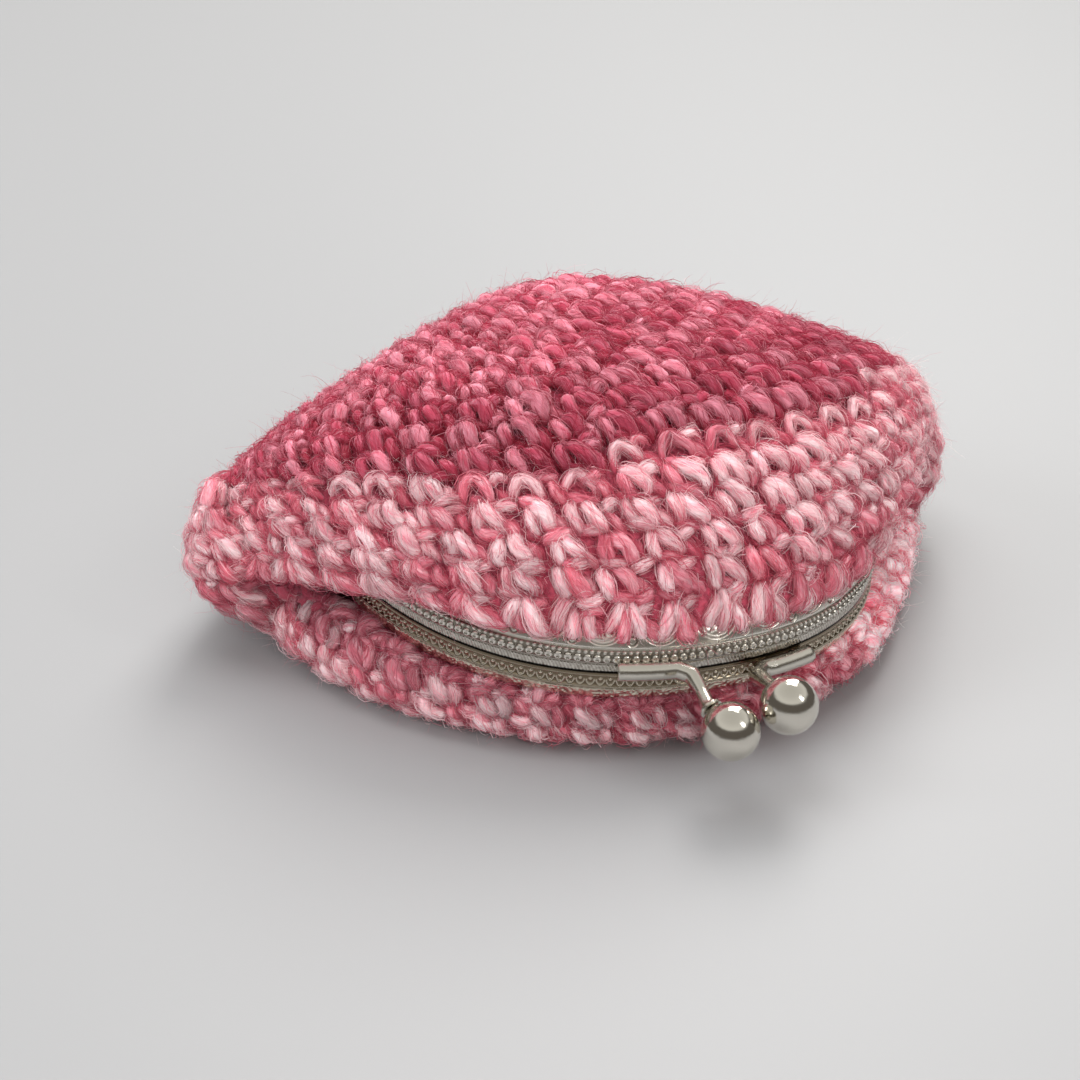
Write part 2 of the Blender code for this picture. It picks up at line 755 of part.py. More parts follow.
def main():
    clear_scene()
    nickel = material("nickel", (0.66, 0.64, 0.60), 0.28, 1.0)
    polished = material("polished_nickel", (0.74, 0.72, 0.68), 0.10, 1.0)
    light_wool = material("light_wool", (0.78, 0.42, 0.45), 0.95, 0.0)
    rose_wool = material("rose_wool", (0.62, 0.16, 0.24), 0.95, 0.0)
    frame_half("front_frame", 1, nickel)
    frame_half("rear_frame", -1, nickel)
    rivet("hinge_rivet_left", -1, nickel)
    rivet("hinge_rivet_right", 1, nickel)
    clasp_arm("front_clasp_arm", 1, polished)
    clasp_arm("rear_clasp_arm", -1, polished)
    clasp_ball("front_clasp_ball", 1, polished)
    clasp_ball("rear_clasp_ball", -1, polished)
    front_wall("front_panel", light_wool)
    pouch("pouch_body", rose_wool)
    for name in ("front_clasp_arm", "front_clasp_ball", "front_panel"):
        set_origin(bpy.data.objects[name], from_frame(0.0, 0.0, 0.0))


main()
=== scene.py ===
"""The looks of the crocheted clasp purse: yarn, embossed metal, table and light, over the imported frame.

Lengths are in metres in the frame's own axes: +X along the hinge line, -Y out of the mouth, +Z up.
"""
import math

import bpy
import numpy as np
from mathutils import Matrix, Vector


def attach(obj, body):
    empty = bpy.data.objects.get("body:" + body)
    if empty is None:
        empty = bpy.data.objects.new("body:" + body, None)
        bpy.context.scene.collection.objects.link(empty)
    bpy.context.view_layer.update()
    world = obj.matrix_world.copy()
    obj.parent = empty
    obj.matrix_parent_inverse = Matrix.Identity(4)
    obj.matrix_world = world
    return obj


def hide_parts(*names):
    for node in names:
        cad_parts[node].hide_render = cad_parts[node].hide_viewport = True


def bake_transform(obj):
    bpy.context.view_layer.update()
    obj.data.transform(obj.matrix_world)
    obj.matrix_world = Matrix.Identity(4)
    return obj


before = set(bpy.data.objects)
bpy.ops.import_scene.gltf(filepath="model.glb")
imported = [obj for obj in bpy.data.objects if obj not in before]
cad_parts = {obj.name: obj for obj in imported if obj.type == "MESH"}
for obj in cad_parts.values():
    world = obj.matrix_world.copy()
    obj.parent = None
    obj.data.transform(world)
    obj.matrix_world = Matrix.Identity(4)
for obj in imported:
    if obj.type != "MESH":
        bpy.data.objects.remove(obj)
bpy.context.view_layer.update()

MM = 0.001
rng = np.random.default_rng(20)

# The clasp frame, as in the CAD model: its arc, its rolled wall and the height of its hinge line
HALF_WIDTH = 42.5 * MM
DEPTH = 49.0 * MM
ARC_POWER = 2.23
DROOP = math.radians(3.0)
HINGE_Z = 16.0 * MM
ROLL_RISE = 5.7 * MM
ROLL_LEAN = 2.5 * MM
RIDGE_RISE = 0.4 * MM
RIDGES = {1: (2.5 * MM, 1.2 * MM), -1: (3.2 * MM, 1.7 * MM)}  # place and width on the upper (1) and lower (-1) half
GAP = 0.3 * MM

# The bag's two walls, as in the CAD model
FABRIC = 4.0 * MM
LIP_TURN = math.radians(55.0)
LINING_TURN = math.radians(80.0)
BAG_HALF_WIDTH = 63.7 * MM
BAG_TOP = 45.1 * MM
BAG_TOP_Y = -16.0 * MM
BAG_END_Y = 50.5 * MM
FLAT_END_Y = 18.0 * MM
REST_FLAT = 1.5 * MM
MOUTH_BULGE = 6.2 * MM
MOUTH_TURN = 8.5 * MM
HEEL_HEIGHT = 3.0 * MM
FOLD_CENTRE_Y = -0.5 * MM
FOLD_DEPTH_MOUTH = 33.7 * MM
FOLD_DEPTH_GAIN = 15.8 * MM
FOLD_HEIGHT_MOUTH = 16.0 * MM
FOLD_HEIGHT_BASE = 8.2 * MM
FOLD_FIRST_ANGLE = math.radians(-2.0)
FOLD_TURN = math.radians(90.0)
FOLD_WALL_SHARE = 1.2
FOLD_SIDE_POWER = 0.88
FOLD_SPREAD_POWER = 1.69
FOLD_SPREAD_LOSS = 0.45
FRONT_LIFT_POWER = 0.70
FRONT_LIFT_GAIN = 0.20
REAR_LIFT_POWER = 0.5
BACK_FALL_POWER = 0.53
SLUMP_SHARE = 0.17
SLUMP_START_Y = -20.0 * MM
SLUMP_EASE = 4.0 * MM
MOUTH_BLEND_SHARE = 0.25
SAG = {1: 1.8 * MM, -1: 1.0 * MM}
LEAVES_SHARES = {1: (0.58, 0.76), -1: (0.86, 0.86)}  # where the fabric leaves the arc, on the left and the right


def unit(v):
    return v / np.maximum(np.linalg.norm(v, axis=-1, keepdims=True), 1e-9)


def arc_point(turn, inset):
    """Along and deep coordinates of the frame's arc, moved in from its edge."""
    s, c = np.sin(turn), np.cos(turn)
    share = 2 / ARC_POWER
    along = HALF_WIDTH * np.sign(s) * np.abs(s) ** share
    deep = -DEPTH * np.abs(c) ** share
    sx = np.abs(along / HALF_WIDTH) ** (ARC_POWER - 1) / HALF_WIDTH * np.sign(along)
    sy = -(np.abs(deep / DEPTH) ** (ARC_POWER - 1)) / DEPTH
    size = np.hypot(sx, sy)
    return along - inset * sx / size, deep - inset * sy / size


def from_frame(along, deep, out):
    """Places in the purse's axes from the frame's own, which droop towards the mouth."""
    up = deep * math.sin(DROOP) + out * math.cos(DROOP)
    back = deep * math.cos(DROOP) - out * math.sin(DROOP)
    along, back, up = np.broadcast_arrays(along, back, up)
    return np.stack([along, back, HINGE_Z + up], -1)


def roll_point(turn, off):
    """How far in and out the rolled wall lies at an angle round it, moved off its face."""
    across, up = -np.cos(turn) / ROLL_LEAN, np.sin(turn) / ROLL_RISE
    size = np.hypot(across, up)
    return ROLL_LEAN * (1 - np.cos(turn)) + off * across / size, ROLL_RISE * np.sin(turn) + off * up / size


def evenly(points):
    """A function that gives the place at each share of a curve's length."""
    points = np.array(points)
    run = np.r_[0.0, np.cumsum(np.linalg.norm(np.diff(points, axis=0), axis=1))]
    run = run / run[-1]
    return lambda r: (np.interp(r, run, points[:, 0]), np.interp(r, run, points[:, 1]))


def bezier(four, count):
    t = np.linspace(0, 1, count)[:, None]
    a, b, c, d = [np.array(p) for p in four]
    return (1 - t) ** 3 * a + 3 * (1 - t) ** 2 * t * b + 3 * (1 - t) * t * t * c + t**3 * d


def front_middle(depth):
    """The front wall's profile down its middle, from mouth to base, at a depth under its face."""
    start = from_frame(0.0, -DEPTH + ROLL_LEAN + GAP, ROLL_RISE)
    y0, z0 = start[1] + depth, start[2] + depth / 8
    y1, top, base = BAG_END_Y - depth, BAG_TOP - depth, FOLD_HEIGHT_BASE
    angle = np.linspace(-math.pi / 2, math.pi / 2, 161)
    s, c = np.sin(angle), np.clip(np.cos(angle), 0, None)
    y = np.where(s < 0, BAG_TOP_Y + (BAG_TOP_Y - y0) * s, BAG_TOP_Y + (y1 - BAG_TOP_Y) * s)
    z = np.where(s < 0, z0 + (top - z0) * c, base + (top - base) * c**BACK_FALL_POWER)
    return evenly(np.stack([y, z], 1))


def rear_middle(depth):
    """The rear wall's profile down its middle, along the table and up the heel."""
    inset, out = roll_point(LIP_TURN, GAP)
    start = from_frame(0.0, -DEPTH + inset, -out)
    y0, z0 = start[1] + depth / 3, start[2] - depth / 3
    floor, y1 = depth - REST_FLAT, BAG_END_Y - depth
    bulge = MOUTH_BULGE - depth
    turn = [(y0, z0), (y0 - bulge, z0), (y0 - bulge - REST_FLAT, floor), (y0 + MOUTH_TURN, floor)]
    middle_y = (FLAT_END_Y + y1) / 2
    heel = [(FLAT_END_Y, floor), (middle_y, floor), (y1, HEEL_HEIGHT + depth), (y1, FOLD_HEIGHT_BASE)]
    return evenly(np.concatenate([bezier(turn, 80), bezier(heel, 80)]))


middles = {}


def middle(side, depth):
    key = (side, round(depth, 7))
    if key not in middles:
        middles[key] = front_middle(depth) if side > 0 else rear_middle(depth)
    return middles[key]


def fold(r, depth):
    """The side fold where the two walls meet, from mouth to base."""
    angle = FOLD_FIRST_ANGLE + FOLD_TURN * r
    x = (BAG_HALF_WIDTH - FOLD_WALL_SHARE * depth) * np.cos(angle)
    reach = FOLD_DEPTH_MOUTH + FOLD_DEPTH_GAIN * r * r
    z = FOLD_HEIGHT_MOUTH + (FOLD_HEIGHT_BASE - FOLD_HEIGHT_MOUTH) * r
    return x, FOLD_CENTRE_Y + (reach - depth) * np.sin(angle), z


def mouth(side, s, depth):
    """A wall's edge at the mouth: along the frame, then from where it leaves it to the fold."""
    leaves = np.where(s < 0, *LEAVES_SHARES[side])
    inset, out = roll_point(LIP_TURN + (LINING_TURN - LIP_TURN) * min(depth / FABRIC, 1.0), GAP)
    on_arc = np.sign(s) * np.minimum(np.abs(s), leaves)
    along, deep = arc_point(on_arc * math.pi / 2, inset)
    place = from_frame(along, deep, side * out)
    past = np.clip((np.abs(s) - leaves) / (1 - leaves), 0, 1)
    tip = fold(0.0, depth)
    x = place[..., 0] + (np.sign(s) * tip[0] - place[..., 0]) * past
    y = place[..., 1] + (tip[1] - place[..., 1]) * past
    ease = 1 - np.cos(past * math.pi / 2)
    z = place[..., 2] + (tip[2] - place[..., 2]) * ease - SAG[side] * np.sin(past * math.pi)
    return np.stack([x, y, z], -1)


def wall(side, s, r, depth=0.0):
    """Places on the front (1) or rear (-1) wall, s from fold to fold, r from mouth to base."""
    s, r = np.broadcast_arrays(np.asarray(s, float), np.asarray(r, float))
    s, r = np.clip(s, -1, 1), np.clip(r, 0, 1)
    angle = np.abs(s) * math.pi / 2
    c = np.clip(np.cos(angle), 0, None)
    fx, fy, fz = fold(r, depth)
    my, mz = middle(side, depth)(r)
    lift = FRONT_LIFT_POWER + FRONT_LIFT_GAIN * r if side > 0 else REAR_LIFT_POWER
    x = np.sign(s) * fx * np.sin(angle) ** FOLD_SIDE_POWER
    y = fy + (my - fy) * c ** (FOLD_SPREAD_POWER - FOLD_SPREAD_LOSS * r)
    z = fz + (mz - fz) * c**lift
    slump = y - SLUMP_START_Y
    x = x + SLUMP_SHARE * (slump + np.hypot(slump, SLUMP_EASE)) / 2
    share = (1 - (1 - np.minimum(r / MOUTH_BLEND_SHARE, 1.0)) ** 2)[..., None]
    edge = mouth(side, s, depth)
    place = edge + (np.stack([x, y, z], -1) - edge) * share
    if side < 0:
        place[..., 2] = np.maximum(place[..., 2], depth)
    return place


def wall_axes(side, s, r, depth=0.0):
    """Place, unit vectors along the round and towards the base, and the outward normal."""
    e = 0.006
    s, r = np.broadcast_arrays(np.asarray(s, float), np.asarray(r, float))
    across = wall(side, s + e, r, depth) - wall(side, s - e, r, depth)
    down = wall(side, s, r + e, depth) - wall(side, s, r - e, depth)
    normal = np.cross(across, down) * side
    return wall(side, s, r, depth), unit(across), unit(down), unit(normal)


def wall_skin(side, s, r):
    """Places and normals on one wall, which run on over the other wall past a side fold."""
    s, r = np.broadcast_arrays(np.asarray(s, float), np.asarray(r, float))
    far = np.clip(np.abs(s) - 1, 0, 1)
    near = np.sign(s) * (1 - np.abs(1 - np.abs(s)))
    here, _, _, out = wall_axes(side, near, r)
    there, _, _, out_there = wall_axes(-side, near, r)
    past = (far > 0)[..., None]
    turn = np.clip((np.abs(s) - 0.93) / 0.14, 0, 1)[..., None]
    return np.where(past, there, here), unit(out * (1 - turn) + out_there * turn)


# Meshes from arrays


def colour_layer(mesh, name, colours):
    layer = mesh.color_attributes.new(name, "FLOAT_COLOR", "POINT")
    full = np.ones((len(mesh.vertices), 4), np.float32)
    full[:, :3] = np.asarray(colours, np.float32).reshape(-1, 3)
    layer.data.foreach_set("color", full.ravel())


def new_mesh(name, points, faces, colours=None, uv=None, look=None):
    """A smooth mesh object from an array of points and one of quads."""
    mesh = bpy.data.meshes.new(name)
    points = np.asarray(points, np.float32).reshape(-1, 3)
    faces = np.asarray(faces, np.int32)
    count, width = faces.shape
    mesh.vertices.add(len(points))
    mesh.vertices.foreach_set("co", points.ravel())
    mesh.loops.add(count * width)
    mesh.loops.foreach_set("vertex_index", faces.ravel())
    mesh.polygons.add(count)
    mesh.polygons.foreach_set("loop_start", np.arange(count, dtype=np.int32) * width)
    mesh.polygons.foreach_set("use_smooth", np.ones(count, bool))
    if colours is not None:
        colour_layer(mesh, "Tint", colours)
    if uv is not None:
        layer = mesh.uv_layers.new(name="UVMap")
        flat = np.asarray(uv, np.float32).reshape(-1, 2)[faces.ravel()]
        layer.data.foreach_set("uv", flat.ravel())
    mesh.update(calc_edges=True)
    mesh.validate()
    obj = bpy.data.objects.new(name, mesh)
    bpy.context.scene.collection.objects.link(obj)
    if look:
        mesh.materials.append(look)
    return obj


def grid_quads(grid):
    """Quads between the points of a grid of indices."""
    return np.stack([grid[:-1, :-1], grid[:-1, 1:], grid[1:, 1:], grid[1:, :-1]], -1).reshape(-1, 4)


PRESSED_HEIGHT = 1.0 * MM


def pressed(points):
    """The points with the lowest of them squashed flat on the table that the purse lies on."""
    z = points[..., 2]
    squashed = PRESSED_HEIGHT * np.exp(np.minimum(z / PRESSED_HEIGHT - 1, 0))
    points[..., 2] = np.where(z < PRESSED_HEIGHT, squashed, z)
    return points


TUBE_SIDES = 10
PLY_TURN = 9.0 * MM


class Strands:
    """Tubes of two-ply yarn, gathered into one mesh."""

    def __init__(self):
        self.tubes = []

    def add(self, path, normal, radius, tints, level, shade_tone):
        """path, normal: (K, n, 3). radius, level: (K, n). tints: two (K, 3) colours, which streak each other.

        A strand takes on the shade tone, a painted shade, where it dips between its neighbours. Returns the axes
        across it.
        """
        tangent = unit(np.gradient(path, axis=1))
        bi = unit(np.cross(tangent, normal))
        up = np.cross(bi, tangent)
        theta = (np.arange(TUBE_SIDES) / TUBE_SIDES * 2 - 1) * math.pi
        steps = np.linalg.norm(np.diff(path, axis=1), axis=2)
        run = np.concatenate([np.zeros((len(path), 1)), np.cumsum(steps, 1)], 1)
        twist = theta[None, None] + run[..., None] * 2 * math.pi / PLY_TURN
        phase = rng.uniform(0, 2 * math.pi, (len(path), 1, 1))
        lump = rng.uniform(0, 6.3, (len(path), 1, 1))
        ply = 1 + 0.07 * np.cos(2 * (twist + phase)) + 0.06 * np.cos(run[..., None] * 2.1 / MM + lump)
        around = theta[None, None, :, None]
        ring = np.cos(around) * up[:, :, None] + np.sin(around) * bi[:, :, None]
        points = path[:, :, None] + ring * (radius[..., None] * ply)[..., None]
        across = theta[None, None] * radius.mean() / MM + 0.45 * run[..., None] / MM
        uv = np.stack(np.broadcast_arrays(run[..., None] / MM, across), -1)
        uv = uv + rng.uniform(0, 50, (len(path), 1, 1, 2))
        height = level[..., None] + radius[..., None] * np.cos(theta)
        colours = [shaded_by_depth(tone[:, None, None], height, shade_tone) for tone in tints]
        self.tubes.append((points, colours, uv))
        return up, bi

    def mesh(self, name, look):
        points, first, second, uvs, faces, start = [], [], [], [], [], 0
        for p, (one, two), u in self.tubes:
            count, n, m = p.shape[:3]
            index = np.arange(count * n * m).reshape(count, n, m) + start
            a, b = index[:, :-1], index[:, 1:]
            quads = np.stack([a, np.roll(a, -1, 2), np.roll(b, -1, 2), b], -1).reshape(-1, 4)
            points.append(p.reshape(-1, 3))
            first.append(one.reshape(-1, 3))
            second.append(two.reshape(-1, 3))
            uvs.append(np.broadcast_to(u, p.shape[:3] + (2,)).reshape(-1, 2))
            faces.append(quads)
            start += count * n * m
        points = pressed(np.concatenate(points))
        obj = new_mesh(name, points, np.concatenate(faces), np.concatenate(first), np.concatenate(uvs), look)
        colour_layer(obj.data, "Ply", np.concatenate(second))
        return obj


def shaded_by_depth(tone, height, shade_tone):
    """A tone that turns to the shade tone as the height over the fabric's face, in metres, falls: painted shade low
    between the strands.
    """
    w = np.clip((height / MM + 0.95) / 1.25, 0, 1)[..., None]
    w = w * w * (3 - 2 * w)
    return shade_tone * (1 - w) + tone * w


def ribbons(name, paths, widths, colours, look):
    """Flat fibres: paths (K, n, 3), widths (K,), colours (K, 3)."""
    count, n = paths.shape[:2]
    along = unit(np.gradient(paths, axis=1))
    spare = unit(rng.normal(size=(count, 1, 3)))
    side = unit(np.cross(along, spare))
    taper = np.linspace(1, 0.25, n)[None, :, None] * widths[:, None, None] / 2
    points = np.stack([paths - side * taper, paths + side * taper], 2)
    index = np.arange(count * n * 2).reshape(count, n, 2)
    quads = np.stack([index[:, :-1, 0], index[:, :-1, 1], index[:, 1:, 1], index[:, 1:, 0]], -1).reshape(-1, 4)
    tints = np.broadcast_to(colours[:, None, None], points.shape)
    return new_mesh(name, pressed(points), quads, tints, None, look)


# Materials


def principled(name):
    made = bpy.data.materials.new(name)
    made.use_nodes = True
    tree = made.node_tree
    return made, tree, tree.nodes["Principled BSDF"]


def node(tree, kind, **values):
    """A new shader node, with its properties and sockets set by name."""
    made = tree.nodes.new(kind)
    for key, value in values.items():
        if hasattr(made, key):
            setattr(made, key, value)
        else:
            made.inputs[key].default_value = value
    return made


def preset(made, values):
    """Set a node's inputs by name."""
    for key, value in values.items():
        made.inputs[key].default_value = value


def mapped(tree, source, low, high, out_low, out_high, kind="SMOOTHSTEP"):
    """A value taken from one range to another."""
    spread = node(tree, "ShaderNodeMapRange", interpolation_type=kind)
    preset(spread, {"From Min": low, "From Max": high, "To Min": out_low, "To Max": out_high})
    tree.links.new(source, spread.inputs["Value"])
    return spread.outputs["Result"]


def scaled(tree, colour, factor):
    """A colour times a factor."""
    mix = node(tree, "ShaderNodeVectorMath", operation="SCALE")
    tree.links.new(colour, mix.inputs[0])
    tree.links.new(factor, mix.inputs["Scale"])
    return mix.outputs["Vector"]


def noise_over(tree, scale, detail=2.0):
    """A noise that runs through the object's own axes."""
    place = node(tree, "ShaderNodeTexCoord")
    noise = node(tree, "ShaderNodeTexNoise", Scale=scale, Detail=detail)
    tree.links.new(place.outputs["Object"], noise.inputs["Vector"])
    return noise.outputs["Fac"]


def bumped(tree, shader, height, strength, distance):
    """Roughen a surface by a height. Returns the bump node."""
    bump = node(tree, "ShaderNodeBump", Strength=strength, Distance=distance)
    tree.links.new(height, bump.inputs["Height"])
    tree.links.new(bump.outputs["Normal"], shader.inputs["Normal"])
    return bump


WOOL = {
    "Roughness": 0.95,
    "Specular IOR Level": 0.1,
    "Sheen Weight": 0.5,
    "Sheen Roughness": 0.4,
    "Sheen Tint": (1.0, 0.7, 0.74, 1.0),
    "Subsurface Weight": 0.35,
    "Subsurface Radius": (1.0, 0.45, 0.45),
    "Subsurface Scale": 1.0 * MM,
}


def yarn_look(name):
    """Two colours of fibre streaking along each strand, with fine hairs in the bump."""
    made, tree, shader = principled(name)
    link = tree.links.new
    place = node(tree, "ShaderNodeUVMap", uv_map="UVMap")
    noises = []
    for scale, detail in (((0.16, 0.85, 1.0), 2.0), ((0.40, 5.5, 1.0), 3.0)):
        stretch = node(tree, "ShaderNodeMapping")
        stretch.inputs["Scale"].default_value = scale
        noise = node(tree, "ShaderNodeTexNoise", Scale=1.0, Detail=detail, Roughness=0.6)
        link(place.outputs["UV"], stretch.inputs["Vector"])
        link(stretch.outputs["Vector"], noise.inputs["Vector"])
        noises.append(noise)
    one = node(tree, "ShaderNodeVertexColor", layer_name="Tint")
    two = node(tree, "ShaderNodeVertexColor", layer_name="Ply")
    both = node(tree, "ShaderNodeMix", data_type="RGBA")
    link(mapped(tree, noises[0].outputs["Fac"], 0.36, 0.74, 0.0, 1.0), both.inputs["Factor"])
    link(one.outputs["Color"], both.inputs["A"])
    link(two.outputs["Color"], both.inputs["B"])
    shade = mapped(tree, noises[1].outputs["Fac"], 0.3, 0.7, 0.86, 1.10)
    link(scaled(tree, both.outputs["Result"], shade), shader.inputs["Base Color"])
    preset(shader, WOOL)
    bumped(tree, shader, noises[1].outputs["Fac"], 0.6, 0.2 * MM)
    return made


def backing_look(name):
    """Matted wool, for the fabric behind the stitches."""
    made, tree, shader = principled(name)
    tint = node(tree, "ShaderNodeVertexColor", layer_name="Tint")
    streaks = noise_over(tree, 900.0, 4.0)
    shade = mapped(tree, streaks, 0.3, 0.7, 0.6, 1.3)
    tree.links.new(scaled(tree, tint.outputs["Color"], shade), shader.inputs["Base Color"])
    preset(shader, WOOL)
    bumped(tree, shader, streaks, 0.8, 0.4 * MM)
    return made


def fibre_look(name):
    """Single fibres, which let half of the light through."""
    made, tree, shader = principled(name)
    link = tree.links.new
    tint = node(tree, "ShaderNodeVertexColor", layer_name="Tint")
    shade = mapped(tree, noise_over(tree, 300.0), 0.0, 1.0, 0.8, 1.2, "LINEAR")
    colour = scaled(tree, tint.outputs["Color"], shade)
    link(colour, shader.inputs["Base Color"])
    preset(shader, {"Roughness": 0.9, "Specular IOR Level": 0.1})
    through = node(tree, "ShaderNodeBsdfTranslucent")
    link(colour, through.inputs["Color"])
    both = node(tree, "ShaderNodeMixShader")
    both.inputs["Fac"].default_value = 0.5
    link(shader.outputs["BSDF"], both.inputs[1])
    link(through.outputs["BSDF"], both.inputs[2])
    link(both.outputs["Shader"], tree.nodes["Material Output"].inputs["Surface"])
    return made


def metal_look(name, colour, rough, relief=False, rounding=0.0):
    """Nickel plate. Relief takes its colour, with its painted light and shade, from the mesh, and rounding smooths
    the shading of facets.
    """
    made, tree, shader = principled(name)
    link = tree.links.new
    spread = mapped(tree, noise_over(tree, 160.0, 5.0), 0.0, 1.0, rough * 0.75, rough * 1.35, "LINEAR")
    link(spread, shader.inputs["Roughness"])
    preset(shader, {"Metallic": 1.0, "Base Color": (*colour, 1.0)})
    if relief:
        tint = node(tree, "ShaderNodeVertexColor", layer_name="Tint")
        link(tint.outputs["Color"], shader.inputs["Base Color"])
    grain = noise_over(tree, 2600.0 if relief else 900.0)
    bump = bumped(tree, shader, grain, 0.25 if relief else 0.02, 0.05 * MM)
    if rounding:
        rounded = node(tree, "ShaderNodeBevel", samples=12)
        rounded.inputs["Radius"].default_value = rounding
        link(rounded.outputs["Normal"], bump.inputs["Normal"])
    return made


# Yarn colours, from the palest ply to the shade deep between the strands

PALE = np.array((0.87, 0.67, 0.69))
BLUSH = np.array((0.82, 0.40, 0.46))
ROSE = np.array((0.66, 0.12, 0.185))
SOFT = np.array((0.55, 0.180, 0.245))
MID = np.array((0.42, 0.058, 0.100))
DEEP = np.array((0.29, 0.022, 0.042))


def pick_tints(count, light, pale_share):
    """Two colours for each strand, the first one leading."""
    lead = rng.uniform(size=(count, 1)) < pale_share * np.where(light, 1.0, 0.75)
    one = np.where(lead, PALE, ROSE * 0.7 + BLUSH * 0.3)
    two = np.where(lead, ROSE * 0.5 + BLUSH * 0.5, BLUSH * 0.7 + PALE * 0.3)
    one = np.where(light, one, np.where(lead, SOFT * 0.7 + BLUSH * 0.3, MID))
    two = np.where(light, two, np.where(lead, MID, SOFT * 0.7 + MID * 0.3))
    bright = rng.uniform(0.84, 1.1, (count, 1))
    return np.clip(one * bright, 0, 0.9), np.clip(two * bright, 0, 0.9)


# Stitches


def bend(knots, count):
    """A smooth path through knots (K, m, d), as Catmull-Rom, resampled to count points."""
    m = knots.shape[1]
    t = np.linspace(0, m - 1 - 1e-6, count)
    k = t.astype(int)
    f = (t - k)[None, :, None]
    pad = np.concatenate([2 * knots[:, :1] - knots[:, 1:2], knots, 2 * knots[:, -1:] - knots[:, -2:-1]], 1)
    a, b, c, d = pad[:, k], pad[:, k + 1], pad[:, k + 2], pad[:, k + 3]
    return 0.5 * (2 * b + (c - a) * f + (2 * a - 5 * b + 4 * c - d) * f * f + (3 * b - a - 3 * c + d) * f**3)


STITCH = 7.3 * MM
YARN = 1.04 * MM
ROUND_HEIGHT = 4.6 * MM

# Where each wall's rounds begin and end, as shares from mouth to base
EDGES = {
    1: [0.0, 0.076, 0.109, 0.137, 0.164, 0.191] + list(np.linspace(0.218, 1.0, 21)),
    -1: list(np.linspace(0.0, 0.520, 13)) + list(np.linspace(0.520, 1.0, 13)[1:]),
}


def light_edge(side, s):
    """How far the light yarn reaches from the mouth: a round or two further on the right."""
    if side < 0:
        return np.full_like(s, 0.262)
    return np.select([s < -0.08, s < 0.35, s < 0.6], [0.196, 0.222, 0.262], 0.335)


def cells(side, j):
    """Centres and widths, as shares, of the stitches in round j, and the round's own share and height."""
    low, high = EDGES[side][j], EDGES[side][j + 1]
    r = (low + high) / 2
    s = np.linspace(-1, 1, 400)
    course = wall(side, s, np.full_like(s, r))
    run = np.r_[0.0, np.cumsum(np.linalg.norm(np.diff(course, axis=0), axis=1))]
    count = max(int(round(run[-1] / STITCH)), 2)
    edges = np.interp(np.linspace(0, run[-1], count + 1), run, s)
    return (edges[1:] + edges[:-1]) / 2, np.diff(edges), r, high - low


# Each strand of a stitch: share across, share up the round, height over the fabric's face in mm
STEEP = np.array([
    (-0.26, 0.50, -2.1), (-0.29, 0.36, -1.0), (-0.25, 0.08, -0.5), (-0.17, -0.22, -0.8), (-0.10, -0.46, -2.1),
])
PLUMP = np.array([
    (-0.18, 0.56, -1.9), (-0.07, 0.40, -0.8), (0.10, 0.12, -0.2), (0.27, -0.20, -0.6), (0.38, -0.48, -2.0),
])
STUB = np.array([
    (0.06, 0.16, -1.9), (0.14, 0.30, -0.9), (0.27, 0.42, -0.5), (0.40, 0.44, -0.9), (0.50, 0.40, -2.0),
])
UNDER = np.array([
    (0.20, 0.20, -1.7), (0.32, 0.06, -1.1), (0.45, -0.16, -0.9), (0.56, -0.36, -1.2), (0.62, -0.52, -2.0),
])
LOW = np.array([
    (-0.34, -0.20, -1.9), (-0.20, -0.34, -1.2), (0.0, -0.42, -1.0), (0.20, -0.46, -1.3), (0.34, -0.40, -2.0),
])
RISE = np.array([
    (0.02, -0.62, -1.9), (0.14, -0.54, -0.9), (0.30, -0.44, -0.4), (0.46, -0.36, -0.8), (0.56, -0.33, -1.9),
])
SPLAY_LEFT = np.array([
    (-0.02, 0.50, -1.7), (-0.14, 0.34, -0.7), (-0.28, 0.08, -0.4), (-0.39, -0.18, -0.9), (-0.46, -0.42, -2.6),
])
SPLAY_DOWN = np.array([
    (0.02, 0.50, -1.8), (0.03, 0.25, -0.6), (0.00, -0.05, -0.3), (-0.03, -0.32, -0.9), (-0.04, -0.50, -2.8),
])
SPLAY_RIGHT = np.array([
    (0.05, 0.52, -1.7), (0.14, 0.30, -0.6), (0.27, 0.0, -0.3), (0.38, -0.27, -0.8), (0.44, -0.47, -2.7),
])
ARCH = np.array([
    (-0.30, -0.44, -2.0), (-0.33, -0.10, -0.9), (-0.24, 0.28, -0.5), (-0.05, 0.42, -0.4),
    (0.15, 0.22, -0.35), (0.30, -0.12, -0.6), (0.36, -0.44, -1.9),
])

# The strands of each kind of stitch, each with its thickness and its share of pale yarn
KINDS = {
    "stitch": ((LOW, 0.85, 0.25), (STEEP, 0.88, 0.78), (PLUMP, 1.04, 0.80), (UNDER, 0.85, 0.30), (STUB, 0.80, 0.85)),
    "cross": ((LOW, 0.80, 0.25), (STEEP, 0.92, 0.75), (PLUMP, 1.00, 0.70), (UNDER, 0.80, 0.35), (RISE, 0.86, 0.80)),
    "fan": (
        (UNDER, 0.9, 0.3),
        (SPLAY_LEFT, 0.88, 0.70),
        (SPLAY_DOWN, 0.95, 0.80),
        (SPLAY_RIGHT, 1.0, 0.70),
        (STUB, 0.75, 0.8),
    ),
    "arch": ((LOW, 0.8, 0.2), (ARCH, 0.70, 0.7), (STUB, 0.7, 0.5), (UNDER, 0.7, 0.1)),
}


def lean(side, s, r):
    """The shift along s for each share of r that sets a stitch square to its round."""
    e = 0.004
    across = wall(side, s + e, r) - wall(side, s - e, r)
    down = wall(side, s, r + e) - wall(side, s, r - e)
    shift = -np.sum(across * down, -1) / np.maximum(np.sum(across * across, -1), 1e-12)
    return shift * np.clip((1 - np.abs(s)) / 0.12, 0, 1)


